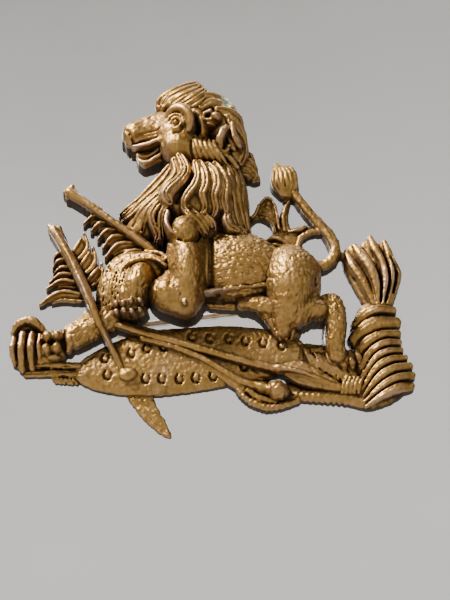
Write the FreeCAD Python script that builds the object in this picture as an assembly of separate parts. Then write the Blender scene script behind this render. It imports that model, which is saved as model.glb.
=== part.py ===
import FreeCAD, Part
import math
import os

# Pierced cap badge with a flat back and a sculpted front, worn upright on a brooch pin.
# Millimetres. +X is to the right as the front is seen, +Z is up as worn, the front faces -Y,
# and the flat back lies in the plane Y = 0 with the origin on it, behind the lion's body.
os.makedirs("parts", exist_ok=True)

# ---- driving dimensions of the casting ------------------------------------------------
DRAFT = 0.35            # how far a low element's wall leans in by its top
SLIT_RADIUS = 0.5       # punched marks round the shield's face
SLIT_DEPTH = 0.4
MIN_FRAGMENT = 0.05     # share of the largest piece below which a cut-off scrap is dropped

# ---- how high each element stands above the flat back ----------------------------------
HEAD_TOP = 8.2
JAW_TOP = 4.2
EAR_TOP = 9.0
FORELOCK_TOP = 7.0
CREST_TOP = 6.5
BACK_TUFT_TOP = 4.0
MANE_TOP = 8.0
BODY_TOP = 6.6
FRINGE_TOP = 2.8
NEAR_FORELEG_TOP = 8.8
NEAR_FOREPAW_TOP = 6.6
FAR_ARM_TOP = 4.6
FAR_FORELEG_TOP = 4.2
FAR_FOREPAW_TOP = 4.6
HAUNCH_TOP = 8.2
FAR_KNEE_TOP = 4.8
FAR_FOOT_TOP = 4.0
SHANK_TOP = 5.4
HIND_PAW_TOP = 3.6
TAIL_TOP = 3.2
TAIL_TUFT_TOP = 4.4
TIE_BAR_TOP = 1.8
LEAF_TOP = 2.6
SHIELD_TOP = 2.0
STICK_TOP = 2.4
LOWER_POINT_TOP = 1.8
CHEST_ARROW_TOP = 4.2
CHEST_FLIGHTS_TOP = 3.2
CROSSING_ARROW_TOP = 5.0
ARROWHEAD_TOP = 3.0
CROSSING_FLIGHTS_TOP = 2.6
SPEAR_TOP = 3.4
SPEAR_BLADE_TOP = 4.0
CLUB_TOP = 3.2
KNOB_TOP = 4.6
PLUME_TOP = 3.2
STEM_TOP = 5.4
FUR_TOP = 2.8
TWISTED_BAND_TOP = 3.0
BOWL_TOP = 2.4

# ---- how far the rounded elements fall to their rims -----------------------------------
BROAD_SHOULDER = 2.2    # the head and the mane
BODY_SHOULDER = 1.6     # the trunk and the haunch
LIMB_SHOULDER = 1.2
PAW_SHOULDER = 1.0
STEM_SHOULDER = 0.9
EAR_SHOULDER = 0.8
SMALL_SHOULDER = 0.7    # the hind shank, the far knee and the tail's tuft
KNOB_SHOULDER = 0.6
LOCK_SHOULDER = 0.5

# ---- other walls and the barbs of the flights ------------------------------------------
SLIGHT_DRAFT = 0.1      # the leaves and the tie bar
EDGE_DRAFT = 0.2        # the stick, the lower point and the spear's blade
CHEST_BARB = 0.75       # half the width of a barb at its root
RIGHT_BARB = 0.7
LEFT_BARB = 0.55

# ---- driving dimensions of the fittings on the back -----------------------------------
PIN_SLOPE_DEG = 7.5     # the brooch pin climbs to the right by this much
PIN_CENTRE_X = 0.0
PIN_CENTRE_Z = -7.65    # height of the pin's line at PIN_CENTRE_X
PIN_STANDOFF = 3.2      # from the flat back to the pin's centre line
PIN_RADIUS = 0.5
HINGE_AT = 12.0         # along the pin's line from its centre, to the right
CATCH_AT = -12.4        # along the pin's line, to the left
NECK_START = 9.4        # the pin flares from here to its eye, clear of the bracket
NECK_RADIUS = 0.62      # where the flare runs into the eye
TAPER_START = -9.0      # the long point begins here
TIP_AT = -15.0
TIP_RADIUS = 0.12
RIVET_RADIUS = 0.45
RIVET_CLEARANCE = 0.05  # running fit of the eye on the rivet, on the radius
RIVET_HEAD_RADIUS = 0.85
RIVET_HEAD = 0.35
EYE_RADIUS = 1.15
EYE_WIDTH = 1.2
EYE_SIDE_GAP = 0.1
STRIP = 0.5             # thickness of the bracket's and the catch's sheet
BRACKET_LENGTH = 4.2
CATCH_LENGTH = 2.2
CATCH_GAP = 1.3         # between the catch's cheeks
CATCH_FLOOR = 2.05      # underside of the trough that carries the pin
CATCH_TOP = 4.3
CATCH_FOOT = 1.4        # the foot's reach to either side of the pin's line
SOLDER_THICKNESS = 0.3
SOLDER_MARGIN = 0.7


def point(x, z, height=0.0):
    return FreeCAD.Vector(x, -height, z)


def closed_curve(points, height):
    curve = Part.BSplineCurve()
    curve.interpolate([point(x, z, height) for x, z in points], PeriodicFlag=True)
    return Part.Wire([curve.toShape()])


def closed_polygon(points, height):
    corners = [point(x, z, height) for x, z in points]
    return Part.makePolygon(corners + corners[:1])


def drawn_in(points, inset):
    """The same outline with each side of its box moved in by the inset."""
    xs = [x for x, _ in points]
    zs = [z for _, z in points]
    middle_x = (min(xs) + max(xs)) / 2
    middle_z = (min(zs) + max(zs)) / 2
    scale_x = 1 - 2 * inset / (max(xs) - min(xs))
    scale_z = 1 - 2 * inset / (max(zs) - min(zs))
    return [
        (middle_x + (x - middle_x) * scale_x, middle_z + (z - middle_z) * scale_z)
        for x, z in points
    ]


def plate(points, height, sharp=False, draft=DRAFT):
    """A low element: its outline on the flat back, leaning in to a flat top."""
    wire = closed_polygon if sharp else closed_curve
    sections = [wire(points, 0), wire(drawn_in(points, draft), height)]
    return Part.makeLoft(sections, True, True)


def dome(points, height, shoulder):
    """A rounded mass: steep at the rim, then turning in by the shoulder towards its top."""
    steps = ((0, 0), (0.5, 0.08), (0.8, 0.4), (1.0, 1.0))
    sections = [
        closed_curve(drawn_in(points, shoulder * turn), height * rise) for rise, turn in steps
    ]
    return Part.makeLoft(sections, True, True)


def band(points, half_widths, height):
    """A strip of varying width along a centre line, with square ends."""
    left = []
    right = []
    for index, (x, z) in enumerate(points):
        before = points[max(index - 1, 0)]
        after = points[min(index + 1, len(points) - 1)]
        run_x = after[0] - before[0]
        run_z = after[1] - before[1]
        length = math.hypot(run_x, run_z)
        off_x = -run_z / length * half_widths[index]
        off_z = run_x / length * half_widths[index]
        left.append((x + off_x, z + off_z))
        right.append((x - off_x, z - off_z))
    outline = closed_polygon(left + right[::-1], 0)
    return Part.Face(outline).extrude(point(0, 0, height))


def barbs(stations, thickness, height):
    """Feather barbs, each a sharp triangle from the shaft (root) out to its tip."""
    solids = []
    for root_x, root_z, tip_x, tip_z in stations:
        length = math.hypot(tip_x - root_x, tip_z - root_z)
        off_x = (tip_z - root_z) / length * thickness
        off_z = -(tip_x - root_x) / length * thickness
        corners = [
            (root_x + off_x, root_z + off_z),
            (tip_x, tip_z),
            (root_x - off_x, root_z - off_z),
        ]
        solids.append(Part.Face(closed_polygon(corners, 0)).extrude(point(0, 0, height)))
    return joined(solids)


def joined(solids):
    return solids[0].multiFuse(solids[1:]).removeSplitter()


# ---- the lion --------------------------------------------------------------------------
def lion_head():
    return dome([
        (-12.8, 17.4), (-12.2, 19.0), (-11.0, 20.2), (-8.8, 21.2), (-6.5, 21.9), (-3.0, 22.6),
        (0.5, 21.6), (1.4, 18.0), (1.3, 14.0), (0.4, 11.8), (-2.4, 11.9), (-5.0, 13.0),
        (-6.6, 15.0), (-8.8, 15.0), (-11.6, 14.2), (-12.6, 15.6),
    ], HEAD_TOP, BROAD_SHOULDER)


def lion_lower_jaw():
    return plate([
        (-11.6, 14.3), (-10.6, 13.0), (-9.5, 12.5), (-7.7, 13.0), (-5.8, 13.9), (-6.4, 15.4),
        (-8.8, 15.2),
    ], JAW_TOP)


def lion_ear():
    return dome([(-1.4, 18.4), (-0.4, 19.4), (1.0, 19.5), (1.5, 18.4), (0.7, 17.4), (-0.8, 17.4)],
                EAR_TOP, EAR_SHOULDER)


def lion_forelock():
    return dome([
        (-7.9, 21.8), (-6.6, 23.5), (-4.4, 24.7), (-2.4, 25.3), (-1.2, 24.0), (-2.2, 22.2),
        (-5.0, 21.2),
    ], FORELOCK_TOP, LOCK_SHOULDER)


def mane_crest():
    return dome([
        (-2.2, 23.4), (-0.8, 24.1), (1.4, 23.3), (3.6, 21.0), (4.6, 19.0), (5.1, 16.6), (5.2, 14.2),
        (4.4, 12.0), (1.0, 11.6), (0.0, 14.0), (0.0, 20.0),
    ], CREST_TOP, LIMB_SHOULDER)


def mane_back_tuft():
    return plate([
        (4.4, 15.2), (5.7, 15.1), (6.3, 13.8), (6.4, 12.2), (6.9, 10.2), (5.4, 10.4), (4.0, 11.1),
        (4.0, 13.0),
    ], BACK_TUFT_TOP)


def mane_locks():
    return dome([
        (-6.3, 12.9), (-7.4, 10.8), (-9.0, 8.9), (-11.0, 7.0), (-13.2, 5.6), (-12.4, 4.6),
        (-10.6, 3.2), (-9.4, 1.8), (-7.4, 0.2), (-5.6, 0.6), (-2.0, 0.8), (1.6, 2.0), (4.8, 1.8),
        (5.3, 4.6), (4.8, 8.0), (4.7, 11.0), (3.0, 12.4), (-2.0, 12.8),
    ], MANE_TOP, BROAD_SHOULDER)


def lion_body():
    return dome([
        (-3.0, 4.6), (2.6, 4.2), (5.4, 2.6), (8.4, 1.6), (12.0, 1.0), (14.6, -1.0), (14.0, -4.4),
        (8.6, -4.6), (3.0, -5.2), (-2.4, -6.0), (-4.4, -2.0),
    ], BODY_TOP, BODY_SHOULDER)


def belly_fringe():
    return plate([
        (-2.4, -5.2), (3.0, -4.6), (8.8, -3.8), (8.8, -5.6), (4.0, -6.5), (-2.2, -7.2),
    ], FRINGE_TOP, sharp=True)


def near_foreleg():
    return dome([
        (-5.8, 3.0), (-6.1, 0.8), (-6.0, -2.6), (-7.8, -4.2), (-8.3, -5.8), (-7.6, -7.6),
        (-5.4, -9.4), (-2.8, -9.9), (-1.0, -8.0), (-0.3, -4.0), (-0.2, 0.8), (-1.6, 3.2),
        (-3.8, 4.0),
    ], NEAR_FORELEG_TOP, LIMB_SHOULDER)


def near_forepaw():
    return dome([
        (-13.6, -6.0), (-12.4, -3.2), (-10.8, -2.0), (-9.0, -2.2), (-8.3, -4.0), (-8.4, -8.8),
        (-9.2, -10.4), (-11.4, -10.8), (-13.4, -10.2), (-13.8, -8.2),
    ], NEAR_FOREPAW_TOP, PAW_SHOULDER)


def far_upper_arm():
    return plate([
        (-12.4, -0.6), (-14.2, -2.4), (-15.2, -5.4), (-15.9, -8.2), (-15.0, -10.4), (-12.4, -11.4),
        (-9.0, -11.2), (-8.0, -8.0), (-6.0, -2.0), (-6.4, 0.6), (-9.4, 0.6),
    ], FAR_ARM_TOP)


def far_foreleg():
    return plate([
        (-15.2, -8.0), (-18.0, -8.9), (-20.0, -10.6), (-20.6, -12.4), (-20.0, -14.3), (-17.6, -14.0),
        (-15.0, -12.6), (-14.4, -10.0),
    ], FAR_FORELEG_TOP)


def far_forepaw():
    return plate([
        (-20.0, -11.4), (-22.2, -11.4), (-23.2, -10.0), (-25.0, -9.5), (-26.9, -10.2),
        (-27.3, -12.4), (-27.4, -14.8), (-26.6, -16.6), (-25.0, -17.3), (-22.4, -17.0),
        (-20.4, -15.4), (-19.4, -13.4),
    ], FAR_FOREPAW_TOP)


def near_haunch():
    return dome([
        (8.3, -4.0), (8.5, -1.0), (10.0, 0.4), (12.4, 0.2), (14.2, -1.6), (15.0, -4.6),
        (14.9, -7.6), (13.6, -9.6), (11.0, -10.4), (8.6, -9.6), (8.1, -7.0),
    ], HAUNCH_TOP, BODY_SHOULDER)


def far_hind_knee():
    return dome([
        (3.5, -7.8), (4.6, -6.3), (6.6, -5.7), (9.0, -6.0), (9.2, -9.4), (7.2, -9.7), (5.0, -9.1),
    ], FAR_KNEE_TOP, SMALL_SHOULDER)


def far_hind_foot():
    return plate([
        (8.2, -9.0), (8.4, -11.4), (9.4, -12.9), (11.2, -12.8), (12.3, -11.2), (12.4, -9.4),
        (10.4, -8.6),
    ], FAR_FOOT_TOP)


def near_hind_shank():
    return dome([
        (14.2, -8.0), (15.2, -6.5), (16.8, -5.8), (18.2, -6.6), (18.9, -8.8), (18.9, -12.0),
        (18.7, -15.2), (17.2, -16.5), (15.6, -15.6), (15.2, -13.0), (14.9, -10.4), (13.6, -10.0),
    ], SHANK_TOP, SMALL_SHOULDER)


def near_hind_paw():
    return plate([
        (13.0, -13.2), (15.6, -13.3), (17.8, -14.2), (18.8, -13.2), (20.4, -14.2), (20.7, -15.8),
        (19.8, -17.4), (18.0, -16.9), (16.0, -15.4), (13.2, -15.0),
    ], HIND_PAW_TOP)


def tail():
    centre = [
        (13.6, -2.6), (15.2, -2.2), (16.7, -1.3), (17.3, 0.3), (16.9, 2.0), (15.9, 3.6),
        (14.4, 5.6), (13.0, 7.6), (11.6, 9.0),
    ]
    return band(centre, [1.0, 0.95, 0.95, 0.95, 0.9, 0.85, 0.8, 0.75, 0.7], TAIL_TOP)


def tail_tuft():
    return dome([
        (9.1, 14.5), (10.3, 13.9), (11.8, 12.6), (12.5, 11.0), (12.3, 9.4), (11.4, 8.2),
        (10.2, 8.1), (9.2, 9.2), (8.8, 11.0), (8.8, 13.0),
    ], TAIL_TUFT_TOP, SMALL_SHOULDER)


def tail_tie_bar():
    corners = [(17.0, 1.3), (19.4, 1.3), (19.4, -1.0), (17.0, -1.0)]
    return plate(corners, TIE_BAR_TOP, sharp=True, draft=SLIGHT_DRAFT)


def leaf_spray():
    hook = [
        (5.9, 5.5), (6.6, 7.3), (7.4, 8.5), (8.5, 8.7), (9.2, 7.9), (9.6, 6.0), (10.0, 4.4),
        (9.6, 2.6), (8.9, 3.4), (8.6, 4.8), (7.4, 5.7),
    ]
    prong = [(11.3, 8.0), (11.7, 7.4), (11.1, 5.8), (10.8, 4.0), (10.2, 2.6), (9.6, 4.0), (10.2, 6.4)]
    foot = [
        (6.8, 1.4), (8.0, 2.6), (9.6, 3.4), (11.4, 3.7), (13.5, 4.5), (14.6, 4.2), (12.8, 3.0),
        (12.3, 1.6), (12.9, 0.2), (11.0, -0.6), (8.0, -0.2),
    ]
    leaves = [plate(outline, LEAF_TOP, sharp=True, draft=SLIGHT_DRAFT) for outline in (hook, prong, foot)]
    return joined(leaves)


# ---- the trophy of arms ----------------------------------------------------------------
def shield():
    oval = plate([
        (-18.6, -16.8), (-17.8, -15.0), (-15.0, -13.6), (-11.0, -12.2), (-6.0, -11.2),
        (0.0, -10.8), (5.0, -10.9), (10.0, -11.6), (12.8, -13.0), (13.0, -15.0), (11.6, -17.0),
        (8.0, -18.4), (3.8, -19.2), (-1.0, -19.9), (-6.0, -20.7), (-10.5, -20.9), (-15.0, -20.1),
        (-17.8, -18.7),
    ], SHIELD_TOP)
    upper_row = [
        (-14.7, -15.3), (-10.9, -14.4), (-8.7, -14.1), (-2.6, -12.4), (-0.1, -12.7),
        (2.4, -12.7), (4.7, -12.9), (7.2, -13.3), (9.8, -13.6),
    ]
    lower_row = [
        (-14.0, -17.8), (-8.6, -18.2), (-6.5, -18.3), (-4.2, -18.3), (-2.0, -18.3), (0.5, -17.9),
        (4.6, -16.8),
    ]
    marks = [
        Part.makeCylinder(SLIT_RADIUS, 2 * SLIT_DEPTH, point(x, z, SHIELD_TOP - SLIT_DEPTH),
                          FreeCAD.Vector(0, -1, 0))
        for x, z in upper_row + lower_row
    ]
    return oval.cut(marks)


def shield_stick():
    return plate([
        (-25.2, -17.2), (-24.8, -16.3), (-21.6, -15.6), (-17.6, -15.6), (-17.6, -18.9),
        (-20.6, -18.8), (-21.8, -18.2), (-24.6, -18.0),
    ], STICK_TOP, sharp=True, draft=EDGE_DRAFT)


def point_below_shield():
    return plate([
        (-11.6, -20.4), (-10.2, -22.6), (-8.2, -24.8), (-6.6, -26.2), (-5.6, -26.4), (-5.4, -25.6),
        (-6.8, -24.0), (-8.0, -22.2), (-8.6, -20.4),
    ], LOWER_POINT_TOP, sharp=True, draft=EDGE_DRAFT)


def chest_arrow():
    shaft = band([(-19.6, 9.3), (-13.4, 4.0), (-6.6, -1.8)], [0.8, 0.9, 0.9], CHEST_ARROW_TOP)
    nock = plate([(-21.0, 9.2), (-20.4, 10.5), (-19.2, 10.6), (-18.4, 9.2), (-19.6, 8.0)], CHEST_ARROW_TOP)
    return joined([shaft, nock])


def chest_arrow_flights():
    return barbs([
        (-15.0, 5.2, -17.9, 4.9), (-13.9, 4.2, -16.4, 3.7), (-12.5, 3.0, -15.4, 2.1),
        (-10.8, 1.4, -14.4, -0.5), (-9.6, 0.4, -14.0, -1.5),
    ], CHEST_BARB, CHEST_FLIGHTS_TOP)


def crossing_arrow():
    shaft = band([
        (-22.3, 4.1), (-19.4, -1.2), (-17.0, -5.9), (-15.0, -10.0), (-13.0, -14.0), (-11.6, -16.8),
    ], [0.75, 0.6, 0.55, 0.5, 0.5, 0.5], CROSSING_ARROW_TOP)
    head = plate([(-12.6, -17.0), (-11.4, -16.4), (-9.8, -17.2), (-10.4, -18.5), (-12.0, -18.5)],
                 ARROWHEAD_TOP)
    return joined([shaft, head])


def crossing_arrow_flights():
    right = [
        (-19.0, -0.8, -18.2, 3.1), (-18.0, -2.8, -17.0, 0.9), (-16.8, -5.2, -15.5, -1.3),
    ]
    left = [
        (-19.4, -1.4, -21.6, -0.8), (-18.6, -3.2, -21.7, -2.8), (-17.9, -4.6, -22.3, -4.4),
        (-17.2, -5.8, -22.1, -5.5), (-16.2, -7.6, -23.3, -7.3),
    ]
    return joined([
        barbs(right, RIGHT_BARB, CROSSING_FLIGHTS_TOP),
        barbs(left, LEFT_BARB, CROSSING_FLIGHTS_TOP),
    ])


def long_spear():
    shaft = band([(-14.4, -10.6), (-8.3, -12.5), (-1.4, -14.3), (5.4, -16.3), (10.2, -17.4)],
                 [0.45, 0.5, 0.5, 0.55, 0.7], SPEAR_TOP)
    blade = plate([(9.6, -17.2), (12.2, -16.0), (15.0, -17.4), (18.2, -19.8), (14.6, -19.5),
                   (11.0, -18.6)], SPEAR_BLADE_TOP, sharp=True, draft=EDGE_DRAFT)
    return joined([shaft, blade])


def knobbed_club():
    shaft = band([(-8.3, -12.9), (-1.4, -15.5), (4.0, -18.4), (7.4, -19.8)],
                 [0.4, 0.5, 0.6, 0.8], CLUB_TOP)
    knob = dome([(6.8, -19.8), (8.4, -18.2), (10.2, -19.8), (8.4, -21.4)], KNOB_TOP, KNOB_SHOULDER)
    return joined([shaft, knob])


def plume():
    return plate([
        (18.5, -1.4), (18.8, 0.6), (20.1, 1.8), (21.0, 1.0), (22.2, 2.9), (23.3, 1.4), (24.3, 2.4),
        (25.2, 0.6), (26.2, -1.0), (26.6, -3.0), (25.8, -5.4), (24.8, -7.6), (21.2, -7.6),
        (20.4, -5.0), (19.3, -3.0),
    ], PLUME_TOP)


def wrapped_stem():
    return dome([
        (21.0, -7.2), (19.6, -9.2), (19.2, -11.4), (19.2, -13.8), (20.2, -15.6), (20.4, -18.0),
        (20.0, -20.4), (20.5, -22.4), (22.8, -22.0), (25.0, -21.3), (27.0, -20.0), (27.4, -17.6),
        (26.8, -16.2), (25.8, -15.0), (25.7, -12.4), (25.4, -9.8), (24.8, -7.2),
    ], STEM_TOP, STEM_SHOULDER)


def fur_strip():
    return plate([
        (12.4, -15.0), (16.0, -15.2), (19.0, -16.8), (20.6, -18.4), (20.6, -20.6), (17.6, -20.0),
        (14.4, -18.4), (11.8, -16.4),
    ], FUR_TOP)


def twisted_band():
    return plate([
        (10.6, -18.8), (15.0, -19.4), (18.2, -19.9), (20.6, -20.4), (20.6, -22.3), (16.4, -21.9),
        (12.4, -21.3), (10.4, -21.0),
    ], TWISTED_BAND_TOP)


def ground_bowl():
    return plate([
        (3.4, -19.2), (4.2, -21.0), (5.8, -22.4), (7.6, -22.9), (9.8, -22.3), (11.9, -21.4),
        (11.4, -19.2), (8.0, -18.2),
    ], BOWL_TOP)


# Each element is cut where one named before it stands in front of it, so that the elements meet
# face to face and share no space.
CASTING = [
    shield, lion_ear, lion_forelock, lion_head, lion_lower_jaw, near_foreleg, near_forepaw, near_haunch,
    chest_arrow, mane_locks, mane_crest, mane_back_tuft, crossing_arrow, chest_arrow_flights,
    near_hind_shank, far_hind_knee, lion_body, belly_fringe, far_hind_foot, near_hind_paw,
    far_upper_arm, far_forepaw, far_foreleg, crossing_arrow_flights, tail, tail_tuft, leaf_spray,
    long_spear, knobbed_club, wrapped_stem, plume, tail_tie_bar, twisted_band, fur_strip,
    ground_bowl, shield_stick, point_below_shield,
]


def without_scraps(shape):
    solids = sorted(shape.Solids, key=lambda solid: solid.Volume, reverse=True)
    kept = [solid for solid in solids if solid.Volume > MIN_FRAGMENT * solids[0].Volume]
    return kept[0] if len(kept) == 1 else Part.makeCompound(kept)


def casting():
    placed = []
    visible = {}
    for make in CASTING:
        whole = make()
        in_front = [other for other in placed if other.BoundBox.intersect(whole.BoundBox)]
        visible[make.__name__] = without_scraps(whole.cut(in_front)) if in_front else whole
        placed.append(whole)
    return visible


# ---- the fittings on the back ----------------------------------------------------------
# They are drawn with the pin along X and the hinge axis along Z, centred on the pin's line, and
# then turned by the pin's slope and moved into place.
def placed_on_back(shape):
    turned = shape.copy()
    turned.rotate(FreeCAD.Vector(0, 0, 0), FreeCAD.Vector(0, 1, 0), -PIN_SLOPE_DEG)
    turned.translate(FreeCAD.Vector(PIN_CENTRE_X, 0, PIN_CENTRE_Z))
    return turned


def box(low, high):
    size = [h - l for l, h in zip(low, high)]
    return Part.makeBox(*size, FreeCAD.Vector(*low))


def upright_cylinder(radius, x, low_z, high_z):
    return Part.makeCylinder(radius, high_z - low_z, FreeCAD.Vector(x, PIN_STANDOFF, low_z))


INNER_WIDTH = EYE_WIDTH + 2 * EYE_SIDE_GAP
OUTER_WIDTH = INNER_WIDTH + 2 * STRIP


def hinge_bracket():
    half_length = BRACKET_LENGTH / 2
    ears = []
    for side in (-1, 1):
        low_z = min(side * INNER_WIDTH / 2, side * OUTER_WIDTH / 2)
        ears.append(box((HINGE_AT - EYE_RADIUS, 0, low_z),
                        (HINGE_AT + EYE_RADIUS, PIN_STANDOFF, low_z + STRIP)))
        ears.append(upright_cylinder(EYE_RADIUS, HINGE_AT, low_z, low_z + STRIP))
    floor = box((HINGE_AT - half_length, 0, -OUTER_WIDTH / 2),
                (HINGE_AT + half_length, STRIP, OUTER_WIDTH / 2))
    channel = joined([floor] + ears)
    return channel.cut(upright_cylinder(RIVET_RADIUS, HINGE_AT, -OUTER_WIDTH, OUTER_WIDTH))


def hinge_rivet():
    edge = OUTER_WIDTH / 2
    body = upright_cylinder(RIVET_RADIUS, HINGE_AT, -edge, edge)
    upper = upright_cylinder(RIVET_HEAD_RADIUS, HINGE_AT, edge, edge + RIVET_HEAD)
    lower = upright_cylinder(RIVET_HEAD_RADIUS, HINGE_AT, -edge - RIVET_HEAD, -edge)
    return joined([body, upper, lower])


def brooch_pin():
    """A wire with a flared neck and a long point, turned about its own line, with an eye."""
    profile = [
        (HINGE_AT - EYE_RADIUS / 2, 0), (HINGE_AT - EYE_RADIUS / 2, NECK_RADIUS),
        (NECK_START, PIN_RADIUS), (TAPER_START, PIN_RADIUS), (TIP_AT, TIP_RADIUS), (TIP_AT, 0),
    ]
    corners = [FreeCAD.Vector(x, PIN_STANDOFF + radius, 0) for x, radius in profile]
    half_section = Part.Face(Part.makePolygon(corners + corners[:1]))
    wire = half_section.revolve(FreeCAD.Vector(0, PIN_STANDOFF, 0), FreeCAD.Vector(1, 0, 0), 360)
    eye = upright_cylinder(EYE_RADIUS, HINGE_AT, -EYE_WIDTH / 2, EYE_WIDTH / 2)
    hole = upright_cylinder(RIVET_RADIUS + RIVET_CLEARANCE, HINGE_AT, -EYE_WIDTH, EYE_WIDTH)
    return eye.fuse(wire).cut(hole)


def pin_catch():
    near = CATCH_GAP / 2
    far = near + STRIP
    section = [
        (-CATCH_FOOT, 0), (far, 0), (far, CATCH_TOP), (near, CATCH_TOP),
        (near, CATCH_FLOOR + STRIP), (-near, CATCH_FLOOR + STRIP), (-near, CATCH_TOP),
        (-far, CATCH_TOP), (-far, CATCH_FLOOR), (near, CATCH_FLOOR), (near, STRIP),
        (-CATCH_FOOT, STRIP),
    ]
    start = CATCH_AT - CATCH_LENGTH / 2
    corners = [FreeCAD.Vector(start, y, z) for z, y in section]
    face = Part.Face(Part.makePolygon(corners + corners[:1]))
    return face.extrude(FreeCAD.Vector(CATCH_LENGTH, 0, 0))


def solder_pads():
    pads = []
    feet = (
        (HINGE_AT, BRACKET_LENGTH / 2, -OUTER_WIDTH / 2, OUTER_WIDTH / 2),
        (CATCH_AT, CATCH_LENGTH / 2, -CATCH_FOOT, CATCH_GAP / 2 + STRIP),
    )
    for centre, half_length, low_z, high_z in feet:
        low = (centre - half_length - SOLDER_MARGIN, 0, low_z - SOLDER_MARGIN)
        high = (centre + half_length + SOLDER_MARGIN, SOLDER_THICKNESS, high_z + SOLDER_MARGIN)
        pad = box(low, high)
        upright = [edge for edge in pad.Edges if abs(edge.tangentAt(edge.FirstParameter).y) > 0.5]
        rounded = pad.makeFillet(SOLDER_MARGIN, upright)
        foot = box((centre - half_length, 0, low_z), (centre + half_length, STRIP, high_z))
        pads.append(rounded.cut(foot))
    return Part.makeCompound(pads)


def fittings():
    makers = (hinge_bracket, hinge_rivet, brooch_pin, pin_catch, solder_pads)
    return {make.__name__: placed_on_back(make()) for make in makers}


for name, shape in {**casting(), **fittings()}.items():
    shape.exportStep("parts/" + name + ".step")
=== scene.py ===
import math

import bpy
import numpy as np
import openvdb
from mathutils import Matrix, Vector


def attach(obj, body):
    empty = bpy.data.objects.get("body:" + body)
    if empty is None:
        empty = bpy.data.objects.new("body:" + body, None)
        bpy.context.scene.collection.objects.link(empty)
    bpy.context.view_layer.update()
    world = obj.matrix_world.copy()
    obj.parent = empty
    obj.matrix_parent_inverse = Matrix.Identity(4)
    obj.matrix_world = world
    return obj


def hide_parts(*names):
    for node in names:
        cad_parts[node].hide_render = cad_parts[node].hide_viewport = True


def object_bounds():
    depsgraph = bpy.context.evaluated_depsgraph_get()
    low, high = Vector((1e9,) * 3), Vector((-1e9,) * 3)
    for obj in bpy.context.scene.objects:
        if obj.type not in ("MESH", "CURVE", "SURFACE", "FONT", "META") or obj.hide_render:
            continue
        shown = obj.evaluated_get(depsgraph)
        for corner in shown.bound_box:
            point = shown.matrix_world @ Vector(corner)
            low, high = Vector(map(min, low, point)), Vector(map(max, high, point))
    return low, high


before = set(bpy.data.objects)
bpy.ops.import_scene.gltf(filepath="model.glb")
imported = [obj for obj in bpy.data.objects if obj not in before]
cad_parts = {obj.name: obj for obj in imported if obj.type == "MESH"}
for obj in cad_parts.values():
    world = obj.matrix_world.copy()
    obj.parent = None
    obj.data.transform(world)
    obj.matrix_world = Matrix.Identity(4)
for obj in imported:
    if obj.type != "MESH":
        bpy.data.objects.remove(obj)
cad_low, cad_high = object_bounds()

# ---- the drawing's scale ----------------------------------------------------------------
# The casting is modelled in a drawing of its front: x to the right, z up, and h, the height of
# the metal above the flat back. One drawing unit is the frame's width over the drawing's.
DRAWN_WIDTH = 54.9
UNIT = (cad_high.x - cad_low.x) / DRAWN_WIDTH
STEP = 0.14             # the modelling grid
MARGIN = 0.9            # grid kept clear round a piece
LAYERS_BELOW = 3.5      # grid layers below the back, which falls midway between two of them
CLEAR = 0.8             # how far past its own edge a form still works on the wax
BACK_STEP = 0.004       # from the back of one piece to the back of the next
DRAFT = 0.06            # how far a wall widens for each unit of depth below its crest
BED_DROP = 0.85         # how far the bed of a lock lies below it, in the lock's radii
PARTING = (0.38, 0.11)  # the depth and width of the line that parts a lock
SPANS = 5               # short runs in each span of a drawn curve
NO_WAX = 4.0            # the field where nothing has been laid yet
TINY = 1e-9             # keeps a division by a length clear of nothing


def at(x, z, h=0.0):
    """A drawing point as a point of the frame."""
    return Vector((x * UNIT, -h * UNIT, z * UNIT))


# ---- drawn curves -----------------------------------------------------------------------
def flowing(points, closed=False):
    """A smooth run of points through the drawn ones, whatever else they carry with them."""
    p = np.array(points, float)
    if len(p) < 3:
        return p
    if closed:
        p = np.vstack([p[-1:], p, p[:2]])
    else:
        p = np.vstack([2 * p[0] - p[1], p, 2 * p[-1] - p[-2]])
    t = np.linspace(0, 1, SPANS, endpoint=False)[:, None]
    runs = []
    for a, b, c, d in zip(p, p[1:], p[2:], p[3:]):
        runs.append(0.5 * (2 * b + (c - a) * t + (2 * a - 5 * b + 4 * c - d) * t**2
                           + (3 * b - 3 * c + d - a) * t**3))
    if not closed:
        runs.append(p[-2][None])
    return np.vstack(runs)


def beside(points, radii):
    """The curve that runs beside a drawn strand, that many of its radii to the left."""
    p = flowing(points)
    run = np.gradient(p[:, :2], axis=0)
    run /= np.linalg.norm(run, axis=1)[:, None] + TINY
    q = p.copy()
    q[:, 0] -= run[:, 1] * radii * p[:, 3]
    q[:, 1] += run[:, 0] * radii * p[:, 3]
    return q


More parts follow.
